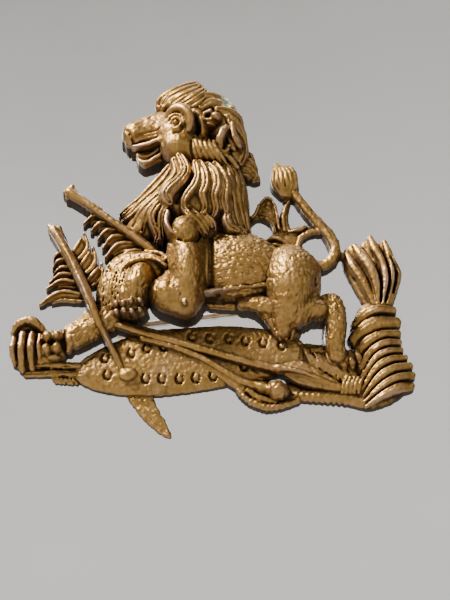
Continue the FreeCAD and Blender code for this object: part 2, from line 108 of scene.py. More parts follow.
# ---- modelling wax ----------------------------------------------------------------------
class Wax:
    """A block of modelling wax on a grid over the drawing. The field is below zero in the wax."""

    def __init__(self, x, z, top):
        self.i0 = [math.floor((low - MARGIN) / STEP) for low in (x[0], z[0])]
        count = [math.ceil((high + MARGIN) / STEP) - i for high, i in zip((x[1], z[1]), self.i0)]
        self.x = (np.arange(count[0]) + self.i0[0]) * STEP
        self.z = (np.arange(count[1]) + self.i0[1]) * STEP
        layers = math.ceil((top + MARGIN) / STEP) + math.ceil(LAYERS_BELOW)
        self.h = (np.arange(layers) - LAYERS_BELOW) * STEP
        self.field = np.full((len(self.x), len(self.z), len(self.h)), NO_WAX, np.float32)

    def window(self, x, z, reach):
        """The patch of the grid within reach of those places, and its own x and z."""
        i = slice(*np.searchsorted(self.x, (min(x) - reach, max(x) + reach)))
        j = slice(*np.searchsorted(self.z, (min(z) - reach, max(z) + reach)))
        return i, j, self.x[i][:, None], self.z[j][None, :]

    def join(self, i, j, form, blend):
        """Add a form to that patch, with a fillet of about that size where it meets the rest."""
        here = self.field[i, j]
        if blend <= 0:
            self.field[i, j] = np.minimum(here, form)
            return
        mix = np.clip(0.5 + 0.5 * (here - form) / blend, 0, 1)
        self.field[i, j] = here + (form - here) * mix - blend * mix * (1 - mix)

    def along(self, p, x, z):
        """Distance from a run of points, and the height and radius carried by the nearest."""
        best = None
        for a, b in zip(p, p[1:]):
            run = b[:2] - a[:2]
            t = ((x - a[0]) * run[0] + (z - a[1]) * run[1]) / (run @ run + TINY)
            t = np.clip(t, 0, 1)
            away = np.hypot(x - a[0] - t * run[0], z - a[1] - t * run[1])
            height = a[2] + (b[2] - a[2]) * t
            radius = a[3] + (b[3] - a[3]) * t
            if best is None:
                best = [away, height, radius]
                continue
            nearer = away - radius < best[0] - best[2]
            here = (away, height, radius)
            best = [np.where(nearer, new, old) for new, old in zip(here, best)]
        return best

    def strand(self, points, blend=0.15, flat=1.0):
        """A round strand whose points are (x, z, height of its centre, radius), standing on metal."""
        self.lay(flowing(points), blend, flat)

    def lay(self, p, blend, flat):
        """Lay a strand along the very points given; flat lowers the half above its centre."""
        reach = p[:, 3].max() + blend + CLEAR
        i, j, x, z = self.window(p[:, 0], p[:, 1], reach)
        away, height, radius = self.along(p, x, z)
        above = np.maximum(self.h - height[:, :, None], 0) / flat
        below = np.maximum(height[:, :, None] - self.h, 0)
        form = np.sqrt(away[:, :, None] ** 2 + above**2) - radius[:, :, None] - DRAFT * below
        self.join(i, j, form, blend)

    def strands(self, *runs, blend):
        for run in runs:
            self.strand(run, blend)

    def locks(self, *runs, parts, bed=1.5):
        """Locks of hair, each parted by fine lines and bedded in the mass below it."""
        for points in runs:
            under = flowing(points)
            under[:, 2] -= BED_DROP * under[:, 3]
            under[:, 3] *= bed
            self.lay(under, 0.3, 1.0)
            self.lay(flowing(points), 0.12, 0.85)
            for k in range(1, parts):
                self.engrave(beside(points, 1.1 * (2 * k / parts - 1)), *PARTING)

    def oval(self, centre, radii, top, rise, turn=0.0, blend=0.4):
        """A rounded mass: its radii in the drawing, its summit, and how far it falls to its rim."""
        i, j, x, z = self.window(centre[:1], centre[1:], max(radii) + blend + CLEAR)
        c, s = math.cos(math.radians(turn)), math.sin(math.radians(turn))
        u = (x - centre[0]) * c + (z - centre[1]) * s
        v = (z - centre[1]) * c - (x - centre[0]) * s
        above = np.maximum(self.h - (top - rise), 0)
        below = np.maximum(top - rise - self.h, 0)
        flat_part = ((u / radii[0]) ** 2 + (v / radii[1]) ** 2)[:, :, None]
        steep_part = ((u / radii[0] ** 2) ** 2 + (v / radii[1] ** 2) ** 2)[:, :, None]
        k0 = np.sqrt(flat_part + (above / rise) ** 2)
        k1 = np.sqrt(steep_part + (above / rise**2) ** 2) + 1e-6
        self.join(i, j, k0 * (k0 - 1) / k1 - DRAFT * below, blend)

    def outline(self, points, x, z):
        """Signed distance from a closed outline in the drawing, below zero inside."""
        p = flowing(points, closed=True)
        away = np.full(np.broadcast(x, z).shape, np.inf)
        inside = np.zeros(away.shape, bool)
        for a, b in zip(p, np.roll(p, -1, axis=0)):
            run = b - a
            t = ((x - a[0]) * run[0] + (z - a[1]) * run[1]) / (run @ run + TINY)
            t = np.clip(t, 0, 1)
            away = np.minimum(away, np.hypot(x - a[0] - t * run[0], z - a[1] - t * run[1]))
            if a[1] != b[1]:
                spans = (a[1] > z) != (b[1] > z)
                inside ^= spans & (x < a[0] + (z - a[1]) / (b[1] - a[1]) * run[0])
        return np.where(inside, -away, away)

    def slab(self, points, top, edge=0.3, crown=0.0, blend=0.0):
        """A plate of that outline, its edge rounded, its face crowned towards the middle."""
        p = np.array(points, float)
        i, j, x, z = self.window(p[:, 0], p[:, 1], blend + CLEAR)
        side = self.outline(points, x, z)
        face = top + crown * (1 - np.exp(np.minimum(side, 0) / (edge + 1.0)))
        out = side[:, :, None] - DRAFT * np.maximum(face[:, :, None] - self.h, 0) + edge
        up = self.h - face[:, :, None] + edge
        form = np.minimum(np.maximum(out, up), 0) - edge
        form = form + np.hypot(np.maximum(out, 0), np.maximum(up, 0))
        self.join(i, j, form, blend)

    def engrave(self, points, depth, width):
        """A line cut into the surface."""
        p = np.array([(*q[:2], 0, 0) for q in flowing(points)])
        i, j, x, z = self.window(p[:, 0], p[:, 1], 3 * width)
        away = self.along(p, x, z)[0]
        self.field[i, j] += (depth * np.exp(-((away / width) ** 2)))[:, :, None]

    def lines(self, depth, width, *runs):
        for run in runs:
            self.engrave(run, depth, width)

    def pit(self, centre, radius, depth):
        """A round hollow, or a low bump with a depth below zero."""
        i, j, x, z = self.window(centre[:1], centre[1:], 3 * radius)
        away = np.hypot(x - centre[0], z - centre[1])
        self.field[i, j] += (depth * np.exp(-((away / radius) ** 2)))[:, :, None]

    def pierce(self, points):
        """An opening right through."""
        p = np.array(points, float)
        i, j, x, z = self.window(p[:, 0], p[:, 1], CLEAR)
        side = self.outline(points, x, z)[:, :, None]
        self.field[i, j] = np.maximum(self.field[i, j], -side)

    def strokes(self, seed, count, x, z, angle, length, depth=0.07, width=0.1, spread=12):
        """Short graver's strokes scattered over a patch; the angle may be a function of place."""
        rng = np.random.default_rng(seed)
        for _ in range(count):
            a, b = rng.uniform(*x), rng.uniform(*z)
            way = angle(a, b) if callable(angle) else angle
            way = math.radians(way + rng.normal(0, spread))
            run = length * rng.uniform(0.6, 1.3) / 2
            du, dv = math.cos(way) * run, math.sin(way) * run
            self.engrave([(a - du, b - dv), (a + du, b + dv)], depth * rng.uniform(0.6, 1.3), width)

    def roughen(self, seed, size, depth):
        """A soft unevenness of the cast skin, about that size across."""
        rng = np.random.default_rng(seed)
        shape = [int(len(axis) * STEP / size) + 3 for axis in (self.x, self.z)]
        lattice = rng.normal(0, 1, shape)
        u = (self.x - self.x[0]) / size
        v = (self.z - self.z[0]) / size
        a, b = u.astype(int), v.astype(int)
        s, t = (u - a)[:, None], (v - b)[None, :]
        s, t = s * s * (3 - 2 * s), t * t * (3 - 2 * t)
        lower = lattice[a][:, b] * (1 - s) + lattice[a + 1][:, b] * s
        upper = lattice[a][:, b + 1] * (1 - s) + lattice[a + 1][:, b + 1] * s
        self.field += (depth * (lower * (1 - t) + upper * t))[:, :, None].astype(np.float32)

    def heights(self):
        """The height of the metal over each point of the drawing, zero where there is none."""
        metal = self.field < 0
        top = len(self.h) - 1 - np.argmax(metal[:, :, ::-1], axis=2)
        return np.where(metal.any(axis=2), np.maximum(self.h[top] + STEP / 2, 0), 0)

    def mesh(self, name, back):
        """The finished surface, cut off flat at that height for its back."""
        self.field = np.maximum(self.field, back - self.h)
        for axis in range(3):
            edge = [slice(None)] * 3
            for side in (0, -1):
                edge[axis] = side
                self.field[tuple(edge)] = 1.0
        band = 3 * STEP
        grid = openvdb.FloatGrid(background=band)
        grid.copyFromArray(np.clip(self.field, -band, band))
        points, triangles, quads = grid.convertToPolygons(0.0, 0.0)
        points = points * STEP + (self.x[0], self.z[0], self.h[0])
        data = bpy.data.meshes.new(name)
        placed = np.stack([points[:, 0], -points[:, 2], points[:, 1]], axis=1) * UNIT
        faces = [tuple(map(int, f)) for f in triangles] + [tuple(map(int, f)) for f in quads]
        data.from_pydata([tuple(map(float, p)) for p in placed], [], faces)
        data.validate()
        return data, points


# ---- the lion's head --------------------------------------------------------------------
def forelock(wax):
    wax.oval((-4.6, 22.6), (3.3, 1.5), 6.2, 3.6, turn=34)
    wax.locks(
        [(-7.5, 21.8, 4.6, 0.4), (-7.1, 22.6, 5.0, 0.55), (-5.6, 23.5, 5.4, 0.6), (-3.6, 24.6, 5.2, 0.5),
         (-2.2, 25.3, 4.8, 0.3)],
        [(-6.8, 21.4, 5.4, 0.4), (-5.8, 22.3, 6.0, 0.6), (-4.0, 23.2, 6.3, 0.6), (-1.9, 24.5, 5.8, 0.3)],
        [(-5.6, 21.4, 6.0, 0.4), (-4.2, 22.1, 6.6, 0.55), (-2.6, 23.0, 6.5, 0.5),
         (-1.4, 24.1, 5.8, 0.28)],
        [(-4.2, 21.0, 6.4, 0.4), (-2.9, 21.6, 6.8, 0.5), (-1.8, 22.6, 6.6, 0.42),
         (-1.0, 23.6, 6.0, 0.26)],
        [(-2.8, 20.8, 6.6, 0.4), (-1.8, 21.4, 6.8, 0.42), (-0.9, 22.6, 6.2, 0.26)],
        parts=2)
    wax.lines(0.3, 0.14, [(-7.2, 21.3), (-6.7, 21.9), (-6.3, 22.5)])


def crest(wax):
    wax.oval((1.4, 19.6), (3.0, 3.6), 6.0, 4.0)
    wax.oval((2.6, 15.2), (2.2, 4.2), 5.4, 3.6)
    wax.locks(
        [(-2.0, 21.6, 6.2, 0.4), (-0.8, 22.7, 6.0, 0.5), (0.6, 22.8, 5.4, 0.5), (2.0, 22.4, 4.6, 0.45),
         (3.0, 21.7, 4.2, 0.3)],
        [(-1.4, 20.6, 6.6, 0.4), (0.2, 21.6, 6.2, 0.5), (1.8, 21.3, 5.4, 0.5), (3.1, 20.8, 4.4, 0.4)],
        [(0.9, 20.4, 6.2, 0.4), (2.4, 20.4, 5.6, 0.5), (3.7, 19.7, 4.8, 0.5), (4.3, 18.5, 4.2, 0.3)],
        [(2.4, 19.3, 6.0, 0.4), (3.5, 18.4, 5.6, 0.5), (4.3, 17.3, 4.8, 0.5), (4.6, 16.1, 4.2, 0.35)],
        [(3.9, 17.1, 4.8, 0.4), (4.6, 15.9, 4.2, 0.45), (4.7, 14.4, 4.0, 0.4), (4.2, 13.0, 4.0, 0.3)],
        parts=2)
    # curls behind the cheek
    wax.strands(
        [(1.3, 14.2, 6.6, 0.4), (1.2, 15.2, 7.2, 0.55), (1.6, 16.3, 7.3, 0.6), (2.1, 17.2, 6.9, 0.4)],
        [(2.5, 14.5, 6.4, 0.35), (2.1, 13.7, 6.4, 0.3), (1.2, 13.5, 6.4, 0.3)],
        [(3.0, 18.1, 6.2, 0.3), (3.1, 16.5, 6.4, 0.5), (3.6, 15.4, 6.2, 0.5), (4.0, 14.8, 5.6, 0.35)],
        [(2.4, 18.5, 6.0, 0.3), (2.5, 16.9, 5.8, 0.3), (2.7, 15.5, 5.8, 0.35), (3.2, 14.4, 5.6, 0.3)],
        [(1.7, 13.5, 6.0, 0.35), (2.8, 12.8, 5.6, 0.45), (3.6, 11.8, 5.0, 0.35)],
        [(1.4, 12.4, 6.2, 0.35), (2.3, 11.5, 5.8, 0.45), (3.0, 10.5, 5.4, 0.35)],
        blend=0.12)
    wax.lines(0.3, 0.13, [(0.9, 15.8), (1.2, 17.1), (2.2, 17.8)], [(2.6, 14.3), (3.0, 13.5), (3.8, 12.9)],
              [(1.7, 22.5), (2.4, 21.6), (3.2, 21.0)], [(0.9, 19.9), (2.0, 19.1), (2.4, 17.9)])


def back_tuft(wax):
    wax.locks(
        [(4.2, 14.7, 2.8, 0.5), (5.2, 14.9, 2.6, 0.5), (6.0, 14.0, 2.2, 0.26)],
        [(4.2, 14.0, 3.0, 0.5), (5.4, 13.8, 2.8, 0.5), (6.3, 12.9, 2.2, 0.26)],
        [(4.1, 13.0, 3.0, 0.5), (5.4, 12.8, 2.8, 0.5), (6.6, 11.5, 2.2, 0.26)],
        [(4.0, 12.1, 2.8, 0.5), (5.2, 11.9, 2.6, 0.45), (6.0, 11.4, 2.2, 0.26)],
        parts=2)


def head(wax):
    # the skull, the long muzzle and its nose, and the cheek
    wax.oval((-4.6, 17.4), (3.8, 3.6), 7.9, 5.6)
    wax.slab([(-12.4, 17.4), (-12.3, 18.6), (-11.0, 19.6), (-8.8, 20.6), (-6.0, 21.0), (-4.6, 18.0),
              (-5.6, 15.2), (-8.0, 15.5), (-10.4, 15.7), (-12.0, 16.4)],
             4.9, edge=1.0, crown=0.8, blend=0.6)
    wax.oval((-10.85, 17.55), (2.05, 2.15), 5.7, 3.4, turn=-10, blend=0.5)
    wax.oval((-2.2, 18.6), (2.2, 3.6), 7.2, 4.0, blend=0.8)
    wax.oval((-4.6, 14.9), (2.7, 2.4), 7.8, 3.6, turn=-20, blend=0.9)
    wax.oval((-1.8, 14.2), (2.6, 2.6), 7.2, 3.8, blend=0.8)
    wax.strand([(-11.9, 16.1, 3.8, 0.3), (-11.1, 15.6, 4.4, 0.32), (-10.0, 15.4, 4.8, 0.3),
                (-8.8, 15.5, 5.2, 0.3), (-7.4, 15.9, 5.7, 0.3), (-6.4, 15.4, 6.1, 0.3)], blend=0.4)
    wax.strand([(-7.3, 15.5, 5.8, 0.3), (-6.7, 14.7, 5.9, 0.32), (-6.3, 13.9, 5.8, 0.3)], blend=0.2)
    # the socket, the brow and the eye
    wax.pit((-5.0, 17.7), 1.15, 0.45)
    wax.strands(
        [(-6.3, 18.9, 6.8, 0.3), (-5.9, 19.4, 7.3, 0.45), (-5.0, 19.75, 7.9, 0.62), (-3.9, 19.4, 8.3, 0.76),
         (-3.1, 18.45, 8.4, 0.76), (-2.85, 17.2, 8.2, 0.62), (-3.1, 16.3, 7.9, 0.35)],
        [(-6.3, 17.6, 7.0, 0.16), (-5.9, 18.5, 7.4, 0.18), (-5.0, 18.9, 7.7, 0.18), (-4.1, 18.4, 7.9, 0.18),
         (-3.8, 17.5, 7.9, 0.18)],
        [(-5.7, 17.6, 7.3, 0.2), (-5.4, 18.2, 7.6, 0.2), (-4.8, 18.3, 7.8, 0.2), (-4.2, 17.8, 7.8, 0.22),
         (-4.3, 17.1, 7.7, 0.24), (-5.0, 16.7, 7.5, 0.24), (-5.6, 17.1, 7.3, 0.2)],
        blend=0.08)
    wax.oval((-4.98, 17.55), (0.42, 0.42), 8.25, 0.9, blend=0.06)
    wax.lines(0.4, 0.2, [(-4.0, 17.0), (-4.3, 16.3), (-5.1, 16.1)])
    wax.lines(0.8, 0.3, [(-2.3, 19.2), (-1.9, 17.8), (-2.1, 16.4)], [(-2.0, 18.8), (-1.8, 17.0)])
    wax.lines(0.14, 0.12, [(-5.6, 19.1), (-4.4, 19.0), (-3.5, 18.0)])
    # folds along the nose, the nostril and the gum
    wax.lines(0.32, 0.13, [(-11.2, 16.4), (-9.1, 17.2), (-7.3, 17.5)])
    wax.lines(0.5, 0.19, [(-10.8, 15.7), (-9.6, 16.1), (-7.8, 16.4)])
    wax.lines(0.2, 0.12, [(-11.0, 16.1), (-9.4, 16.6), (-7.8, 16.9)])
    wax.lines(
        0.3, 0.15,
        [(-12.0, 17.6), (-11.4, 16.6), (-11.0, 15.8)],
        [(-12.6, 16.4), (-12.0, 15.4), (-11.2, 15.7)])
    wax.pit((-11.5, 17.0), 0.2, 0.35)
    wax.lines(0.5, 0.26, [(-11.6, 14.5), (-10.2, 14.7), (-8.6, 14.7), (-7.3, 15.2)])
    wax.strokes(3, 170, (-12.0, -6.4), (17.2, 20.6), 200, 0.5, 0.045, 0.1, spread=25)
    wax.strokes(5, 60, (-6.6, -3.4), (12.6, 16.6), 250, 0.5, 0.035, 0.1, spread=25)
    # the hair of the cheek
    wax.lines(0.34, 0.14, [(-2.8, 15.1), (-2.8, 13.8), (-2.6, 12.7)])
    for k in range(5):
        x = -2.3 + 0.66 * k
        wax.strand([(x, 16.0 - 0.2 * k, 6.7, 0.2), (x + 0.2, 14.7 - 0.16 * k, 7.25, 0.3),
                    (x + 0.6 + 0.1 * k, 13.3 - 0.12 * k, 7.15, 0.3),
                    (x + 1.0 + 0.2 * k, 12.3 - 0.16 * k, 6.5, 0.2)], blend=0.2)
    wax.lines(0.6, 0.2, [(-1.7, 12.2), (-0.2, 12.0), (1.1, 11.7)])


def ear(wax):
    wax.oval((-0.3, 18.5), (1.3, 0.9), 7.0, 2.0, turn=-20, blend=0.3)
    wax.oval((0.65, 18.9), (1.0, 0.85), 7.7, 2.0, turn=-25, blend=0.3)
    wax.strand([(-1.2, 18.6, 6.6, 0.2), (-0.9, 19.4, 6.9, 0.24), (-0.1, 19.7, 7.1, 0.24)], blend=0.2)
    wax.pit((-0.5, 19.0), 0.3, 0.5)
    wax.lines(0.3, 0.14, [(-1.0, 18.3), (0.2, 18.2), (1.2, 18.0)])


def lower_jaw(wax):
    wax.slab([(-10.5, 14.6), (-10.4, 13.8), (-9.9, 12.95), (-9.2, 12.8), (-7.6, 13.4), (-6.0, 14.0),
              (-5.2, 15.0), (-6.6, 15.6), (-9.0, 15.0)], 3.6, edge=0.12)
    wax.strand([(-10.4, 14.2, 3.2, 0.26), (-9.9, 13.4, 3.6, 0.28), (-9.0, 13.3, 3.8, 0.28),
                (-7.6, 14.0, 4.2, 0.3), (-6.2, 15.1, 4.8, 0.3)], blend=0.25)
    wax.strand([(-10.5, 14.9, 3.2, 0.24), (-9.6, 14.3, 3.5, 0.26), (-8.2, 14.6, 3.9, 0.28),
                (-6.9, 15.5, 4.5, 0.26)], blend=0.25)
    wax.lines(0.3, 0.13, [(-10.2, 14.0), (-9.1, 13.8), (-7.8, 14.4), (-6.6, 15.3)])


def mane_hair(x, _):
    return 228 if x < -4.5 else 268


def mane(wax):
    wax.oval((-1.2, 8.0), (4.8, 5.8), 7.4, 4.4)
    wax.oval((-5.0, 7.4), (4.4, 3.6), 6.0, 4.0, turn=40)
    wax.oval((-8.0, 4.8), (4.6, 2.6), 4.6, 3.2, turn=32)
    wax.oval((-4.0, 6.4), (2.8, 3.6), 7.2, 4.0, turn=20)
    wax.oval((2.8, 6.6), (2.6, 6.2), 5.8, 3.8)
    wax.oval((-1.2, 2.8), (2.8, 2.2), 6.0, 3.0)
    # the left contour, then each lock over the one above it
    wax.locks(
        [(-5.9, 12.4, 4.0, 0.5), (-6.9, 10.9, 4.0, 0.65), (-8.2, 9.4, 3.8, 0.7), (-10.0, 7.7, 3.2, 0.55),
         (-11.6, 6.7, 2.6, 0.4), (-12.9, 5.9, 2.0, 0.16)],
        [(-5.4, 11.9, 4.8, 0.5), (-6.3, 10.0, 5.0, 0.65), (-7.8, 8.3, 4.6, 0.7), (-9.6, 6.9, 4.0, 0.6),
         (-11.3, 5.5, 3.2, 0.45), (-12.4, 5.0, 2.6, 0.16)],
        [(-5.0, 10.8, 5.6, 0.5), (-5.9, 9.0, 5.6, 0.6), (-7.3, 7.4, 5.2, 0.65), (-9.0, 5.9, 4.8, 0.6),
         (-10.1, 4.7, 4.2, 0.5), (-11.0, 3.4, 3.4, 0.18)],
        [(-5.6, 7.9, 6.4, 0.4), (-7.0, 6.6, 6.0, 0.55), (-8.5, 5.2, 5.6, 0.6), (-9.2, 4.0, 5.0, 0.5),
         (-9.6, 2.5, 4.2, 0.18)],
        [(-6.0, 6.6, 6.8, 0.4), (-7.3, 5.5, 6.4, 0.55), (-8.2, 4.1, 6.0, 0.5), (-7.9, 2.7, 5.6, 0.42),
         (-7.4, 1.5, 5.0, 0.3), (-7.9, 0.3, 4.6, 0.14)],
        [(-5.9, 5.5, 7.0, 0.4), (-6.7, 4.2, 6.6, 0.45), (-6.9, 2.9, 6.0, 0.4), (-6.8, 1.0, 5.2, 0.16)],
        parts=2, bed=1.15)
    # the right side, lying back
    wax.locks(
        [(3.4, 12.2, 4.4, 0.4), (4.2, 9.7, 4.2, 0.55), (4.4, 6.8, 4.0, 0.6), (4.9, 3.8, 3.6, 0.5),
         (5.2, 2.5, 3.2, 0.2)],
        [(2.6, 12.2, 5.2, 0.4), (3.4, 9.8, 5.2, 0.6), (3.6, 6.8, 5.0, 0.65), (4.2, 4.2, 4.6, 0.5),
         (4.8, 2.6, 4.0, 0.2)],
        [(1.9, 11.9, 6.0, 0.4), (2.6, 9.5, 6.0, 0.55), (2.9, 6.9, 5.8, 0.6), (3.2, 4.6, 5.2, 0.5),
         (3.9, 2.7, 4.8, 0.2)],
        [(0.6, 11.7, 6.6, 0.4), (1.6, 9.9, 7.0, 0.6), (2.1, 8.1, 7.0, 0.65), (1.8, 6.0, 6.8, 0.6),
         (2.2, 4.4, 6.2, 0.4), (1.6, 3.3, 5.8, 0.16)],
        [(-0.4, 11.4, 7.0, 0.4), (0.6, 10.0, 7.4, 0.6), (0.9, 8.1, 7.5, 0.65), (0.4, 6.4, 7.3, 0.55),
         (0.7, 4.8, 6.8, 0.4), (0.2, 3.5, 6.4, 0.16)],
        [(-1.5, 11.6, 7.2, 0.4), (-0.8, 9.9, 7.6, 0.55), (-0.7, 8.0, 7.8, 0.6), (-1.2, 6.5, 7.7, 0.5),
         (-0.8, 5.0, 7.2, 0.4), (-1.2, 3.9, 6.8, 0.16)],
        [(-2.2, 11.5, 7.4, 0.4), (-1.9, 9.6, 7.8, 0.5), (-2.3, 7.8, 8.0, 0.55), (-3.2, 6.6, 7.9, 0.5),
         (-3.8, 5.3, 7.6, 0.4), (-3.5, 4.4, 7.2, 0.16)],
        parts=2, bed=1.35)
    # the dark hollow, and the broad lock that hangs in front of it
    wax.lines(0.6, 0.22, [(-2.5, 9.3), (-3.4, 7.7), (-4.4, 6.2), (-4.7, 5.7)])
    wax.locks([(-4.4, 12.9, 6.8, 0.4), (-3.8, 11.4, 7.4, 0.55), (-3.6, 9.9, 7.9, 0.6),
               (-4.4, 8.4, 8.2, 0.65), (-5.6, 7.2, 8.2, 0.75), (-6.1, 6.2, 8.0, 0.7),
               (-5.6, 5.3, 7.6, 0.26)], parts=3)
    wax.locks([(-5.2, 12.5, 6.0, 0.4), (-4.8, 11.1, 6.6, 0.5), (-4.9, 9.7, 6.9, 0.55),
               (-6.2, 8.2, 6.6, 0.5), (-7.0, 7.4, 6.2, 0.2)], parts=2)
    # tufts that fall on the shoulder and the back
    wax.locks(
        [(-3.9, 4.8, 7.2, 0.3), (-2.9, 3.5, 7.4, 0.4), (-1.8, 2.3, 7.0, 0.35), (-1.1, 1.3, 6.4, 0.16)],
        [(-3.0, 4.9, 7.0, 0.3), (-1.8, 3.5, 7.0, 0.4), (-0.8, 2.2, 6.6, 0.35), (-0.4, 1.4, 6.2, 0.16)],
        [(-0.9, 3.9, 6.8, 0.3), (0.1, 2.9, 6.6, 0.4), (0.5, 2.0, 6.2, 0.16)],
        [(2.6, 4.6, 6.0, 0.16), (2.2, 3.5, 6.4, 0.45), (2.6, 2.5, 6.0, 0.5), (3.7, 2.1, 5.4, 0.3)],
        [(4.0, 2.6, 5.0, 0.3), (4.6, 1.9, 4.8, 0.35), (4.8, 1.1, 4.4, 0.16)],
        parts=2)
    wax.strokes(7, 260, (-11.5, 4.5), (1.0, 11.5), mane_hair, 1.0, 0.05, 0.09, spread=9)


# ---- the lion's body and legs -----------------------------------------------------------
BODY = (
    (-5.6, 3.2), (-3.6, 4.4), (0.0, 4.2), (5.0, 2.0), (8.2, 0.7), (12.4, -0.4), (12.6, -4.0),
    (11.8, -7.2), (8.4, -7.4), (4.6, -7.0), (-0.6, -7.3), (-5.4, -6.6),
)


def body(wax):
    wax.slab(BODY, 3.4, edge=1.6, crown=2.2, blend=0.4)
    wax.oval((3.6, -2.4), (6.6, 5.0), 6.5, 3.4, turn=-4, blend=1.0)
    wax.lines(0.6, 0.34, [(-0.2, 2.0), (0.0, -1.5), (-0.1, -6.6)])
    wax.lines(0.36, 0.2, [(-0.4, -6.7), (3.3, -6.2), (8.2, -5.6)])
    wax.strand([(-0.8, -6.8, 5.0, 0.34), (3.4, -6.3, 5.1, 0.36), (8.3, -5.8, 5.0, 0.36)], blend=0.15)
    wax.strokes(11, 800, (-0.2, 9.0), (-5.6, 2.6), 178, 0.42, 0.09, 0.085, spread=22)
    wax.strokes(10, 160, (-0.6, 8.4), (-7.4, -5.6), 185, 0.8, 0.07, 0.09, spread=8)


def fringe(wax):
    wax.slab([(-1.6, -7.0), (2.0, -6.8), (5.2, -6.2), (8.6, -5.7), (8.8, -7.0), (8.2, -8.2),
              (3.6, -8.4), (-1.0, -7.9)], 2.4, edge=0.4)
    wax.locks(
        [(-1.4, -6.5, 2.8, 0.3), (2.6, -6.6, 3.0, 0.42), (6.0, -6.2, 3.0, 0.4), (8.6, -5.7, 2.8, 0.3)],
        [(-1.2, -7.4, 2.0, 0.3), (1.6, -7.6, 2.2, 0.4), (4.2, -7.3, 2.2, 0.3)],
        parts=2)
    wax.strokes(16, 120, (-1.2, 8.4), (-8.2, -6.0), 190, 0.6, 0.09, 0.09, spread=15)


def near_upper_foreleg(wax):
    wax.slab([(-6.0, 0.4), (-5.9, 2.4), (-4.0, 4.0), (-1.9, 3.2), (-0.7, 0.8), (-0.4, -4.0), (-1.0, -7.4),
              (-2.5, -9.6), (-4.4, -9.9), (-6.2, -9.0), (-7.6, -8.0), (-8.3, -6.6), (-7.9, -5.0),
              (-6.4, -4.2)], 5.4, edge=1.3, crown=0.9, blend=0.5)
    wax.oval((-3.2, -2.9), (2.4, 6.8), 8.4, 4.4, turn=3, blend=0.9)
    wax.oval((-5.6, -6.8), (2.7, 2.6), 7.0, 3.8, turn=20, blend=0.9)
    wax.oval((-3.6, -8.0), (1.8, 2.0), 6.2, 3.0, turn=-15, blend=0.7)
    wax.oval((-3.6, 1.6), (2.2, 2.4), 8.8, 3.8, blend=0.9)
    wax.oval((-3.5, -8.9), (0.42, 0.5), 6.9, 0.9, blend=0.25)
    # the fold that closes the shoulder, and the long hairs on it
    wax.lines(0.5, 0.2, [(-4.4, -0.1), (-3.2, -0.6), (-2.0, 0.0), (-1.4, 1.4)])
    wax.lines(0.34, 0.2, [(-6.1, 3.1), (-6.3, 1.5), (-5.4, 0.1)])
    wax.strand([(-5.9, 4.0, 7.4, 0.3), (-6.1, 2.6, 7.6, 0.34), (-5.6, 1.3, 7.8, 0.3),
                (-4.9, 0.6, 7.8, 0.2)], blend=0.12)
    wax.lines(0.12, 0.14, [(-4.9, 2.6), (-3.7, 3.0), (-2.5, 2.1)])
    wax.lines(0.3, 0.26, [(-6.2, -2.6), (-5.5, -4.8), (-5.6, -6.6)])
    wax.strokes(13, 420, (-5.8, -0.8), (-8.8, 0.4), 264, 0.45, 0.06, 0.085, spread=18)
    wax.strokes(14, 160, (-8.0, -4.8), (-9.0, -4.6), 235, 0.45, 0.055, 0.085, spread=22)
    wax.strokes(18, 90, (-5.6, -2.0), (0.4, 3.6), 60, 0.45, 0.045, 0.085, spread=30)


def near_forepaw(wax):
    wax.oval((-10.1, -5.4), (2.1, 3.4), 6.8, 3.8, turn=-22)
    wax.oval((-11.0, -7.2), (2.2, 2.6), 5.6, 3.4, turn=-10, blend=0.7)
    wax.oval((-9.6, -4.0), (1.5, 1.3), 6.6, 2.2, turn=20, blend=0.5)
    wax.oval((-11.0, -8.9), (2.4, 1.3), 4.6, 2.4, blend=0.4)
    # two rows of toes
    for x, z, h in ((-12.9, -8.4, 4.9), (-11.9, -8.5, 5.5), (-10.8, -8.3, 5.8), (-9.6, -8.2, 5.6),
                    (-12.9, -9.5, 4.5), (-11.8, -9.5, 5.0), (-10.7, -9.6, 5.1), (-9.6, -9.4, 5.0)):
        wax.oval((x, z), (0.52, 0.52), h + 0.4, 1.3, blend=0.05)
    wax.lines(
        0.14, 0.14,
        [(-11.9, -6.2), (-12.1, -8.2)],
        [(-10.9, -6.0), (-11.1, -8.0)],
        [(-9.8, -5.8), (-9.9, -7.8)])
    wax.strokes(17, 230, (-12.8, -8.2), (-8.4, -2.8), 246, 0.5, 0.06, 0.085, spread=18)


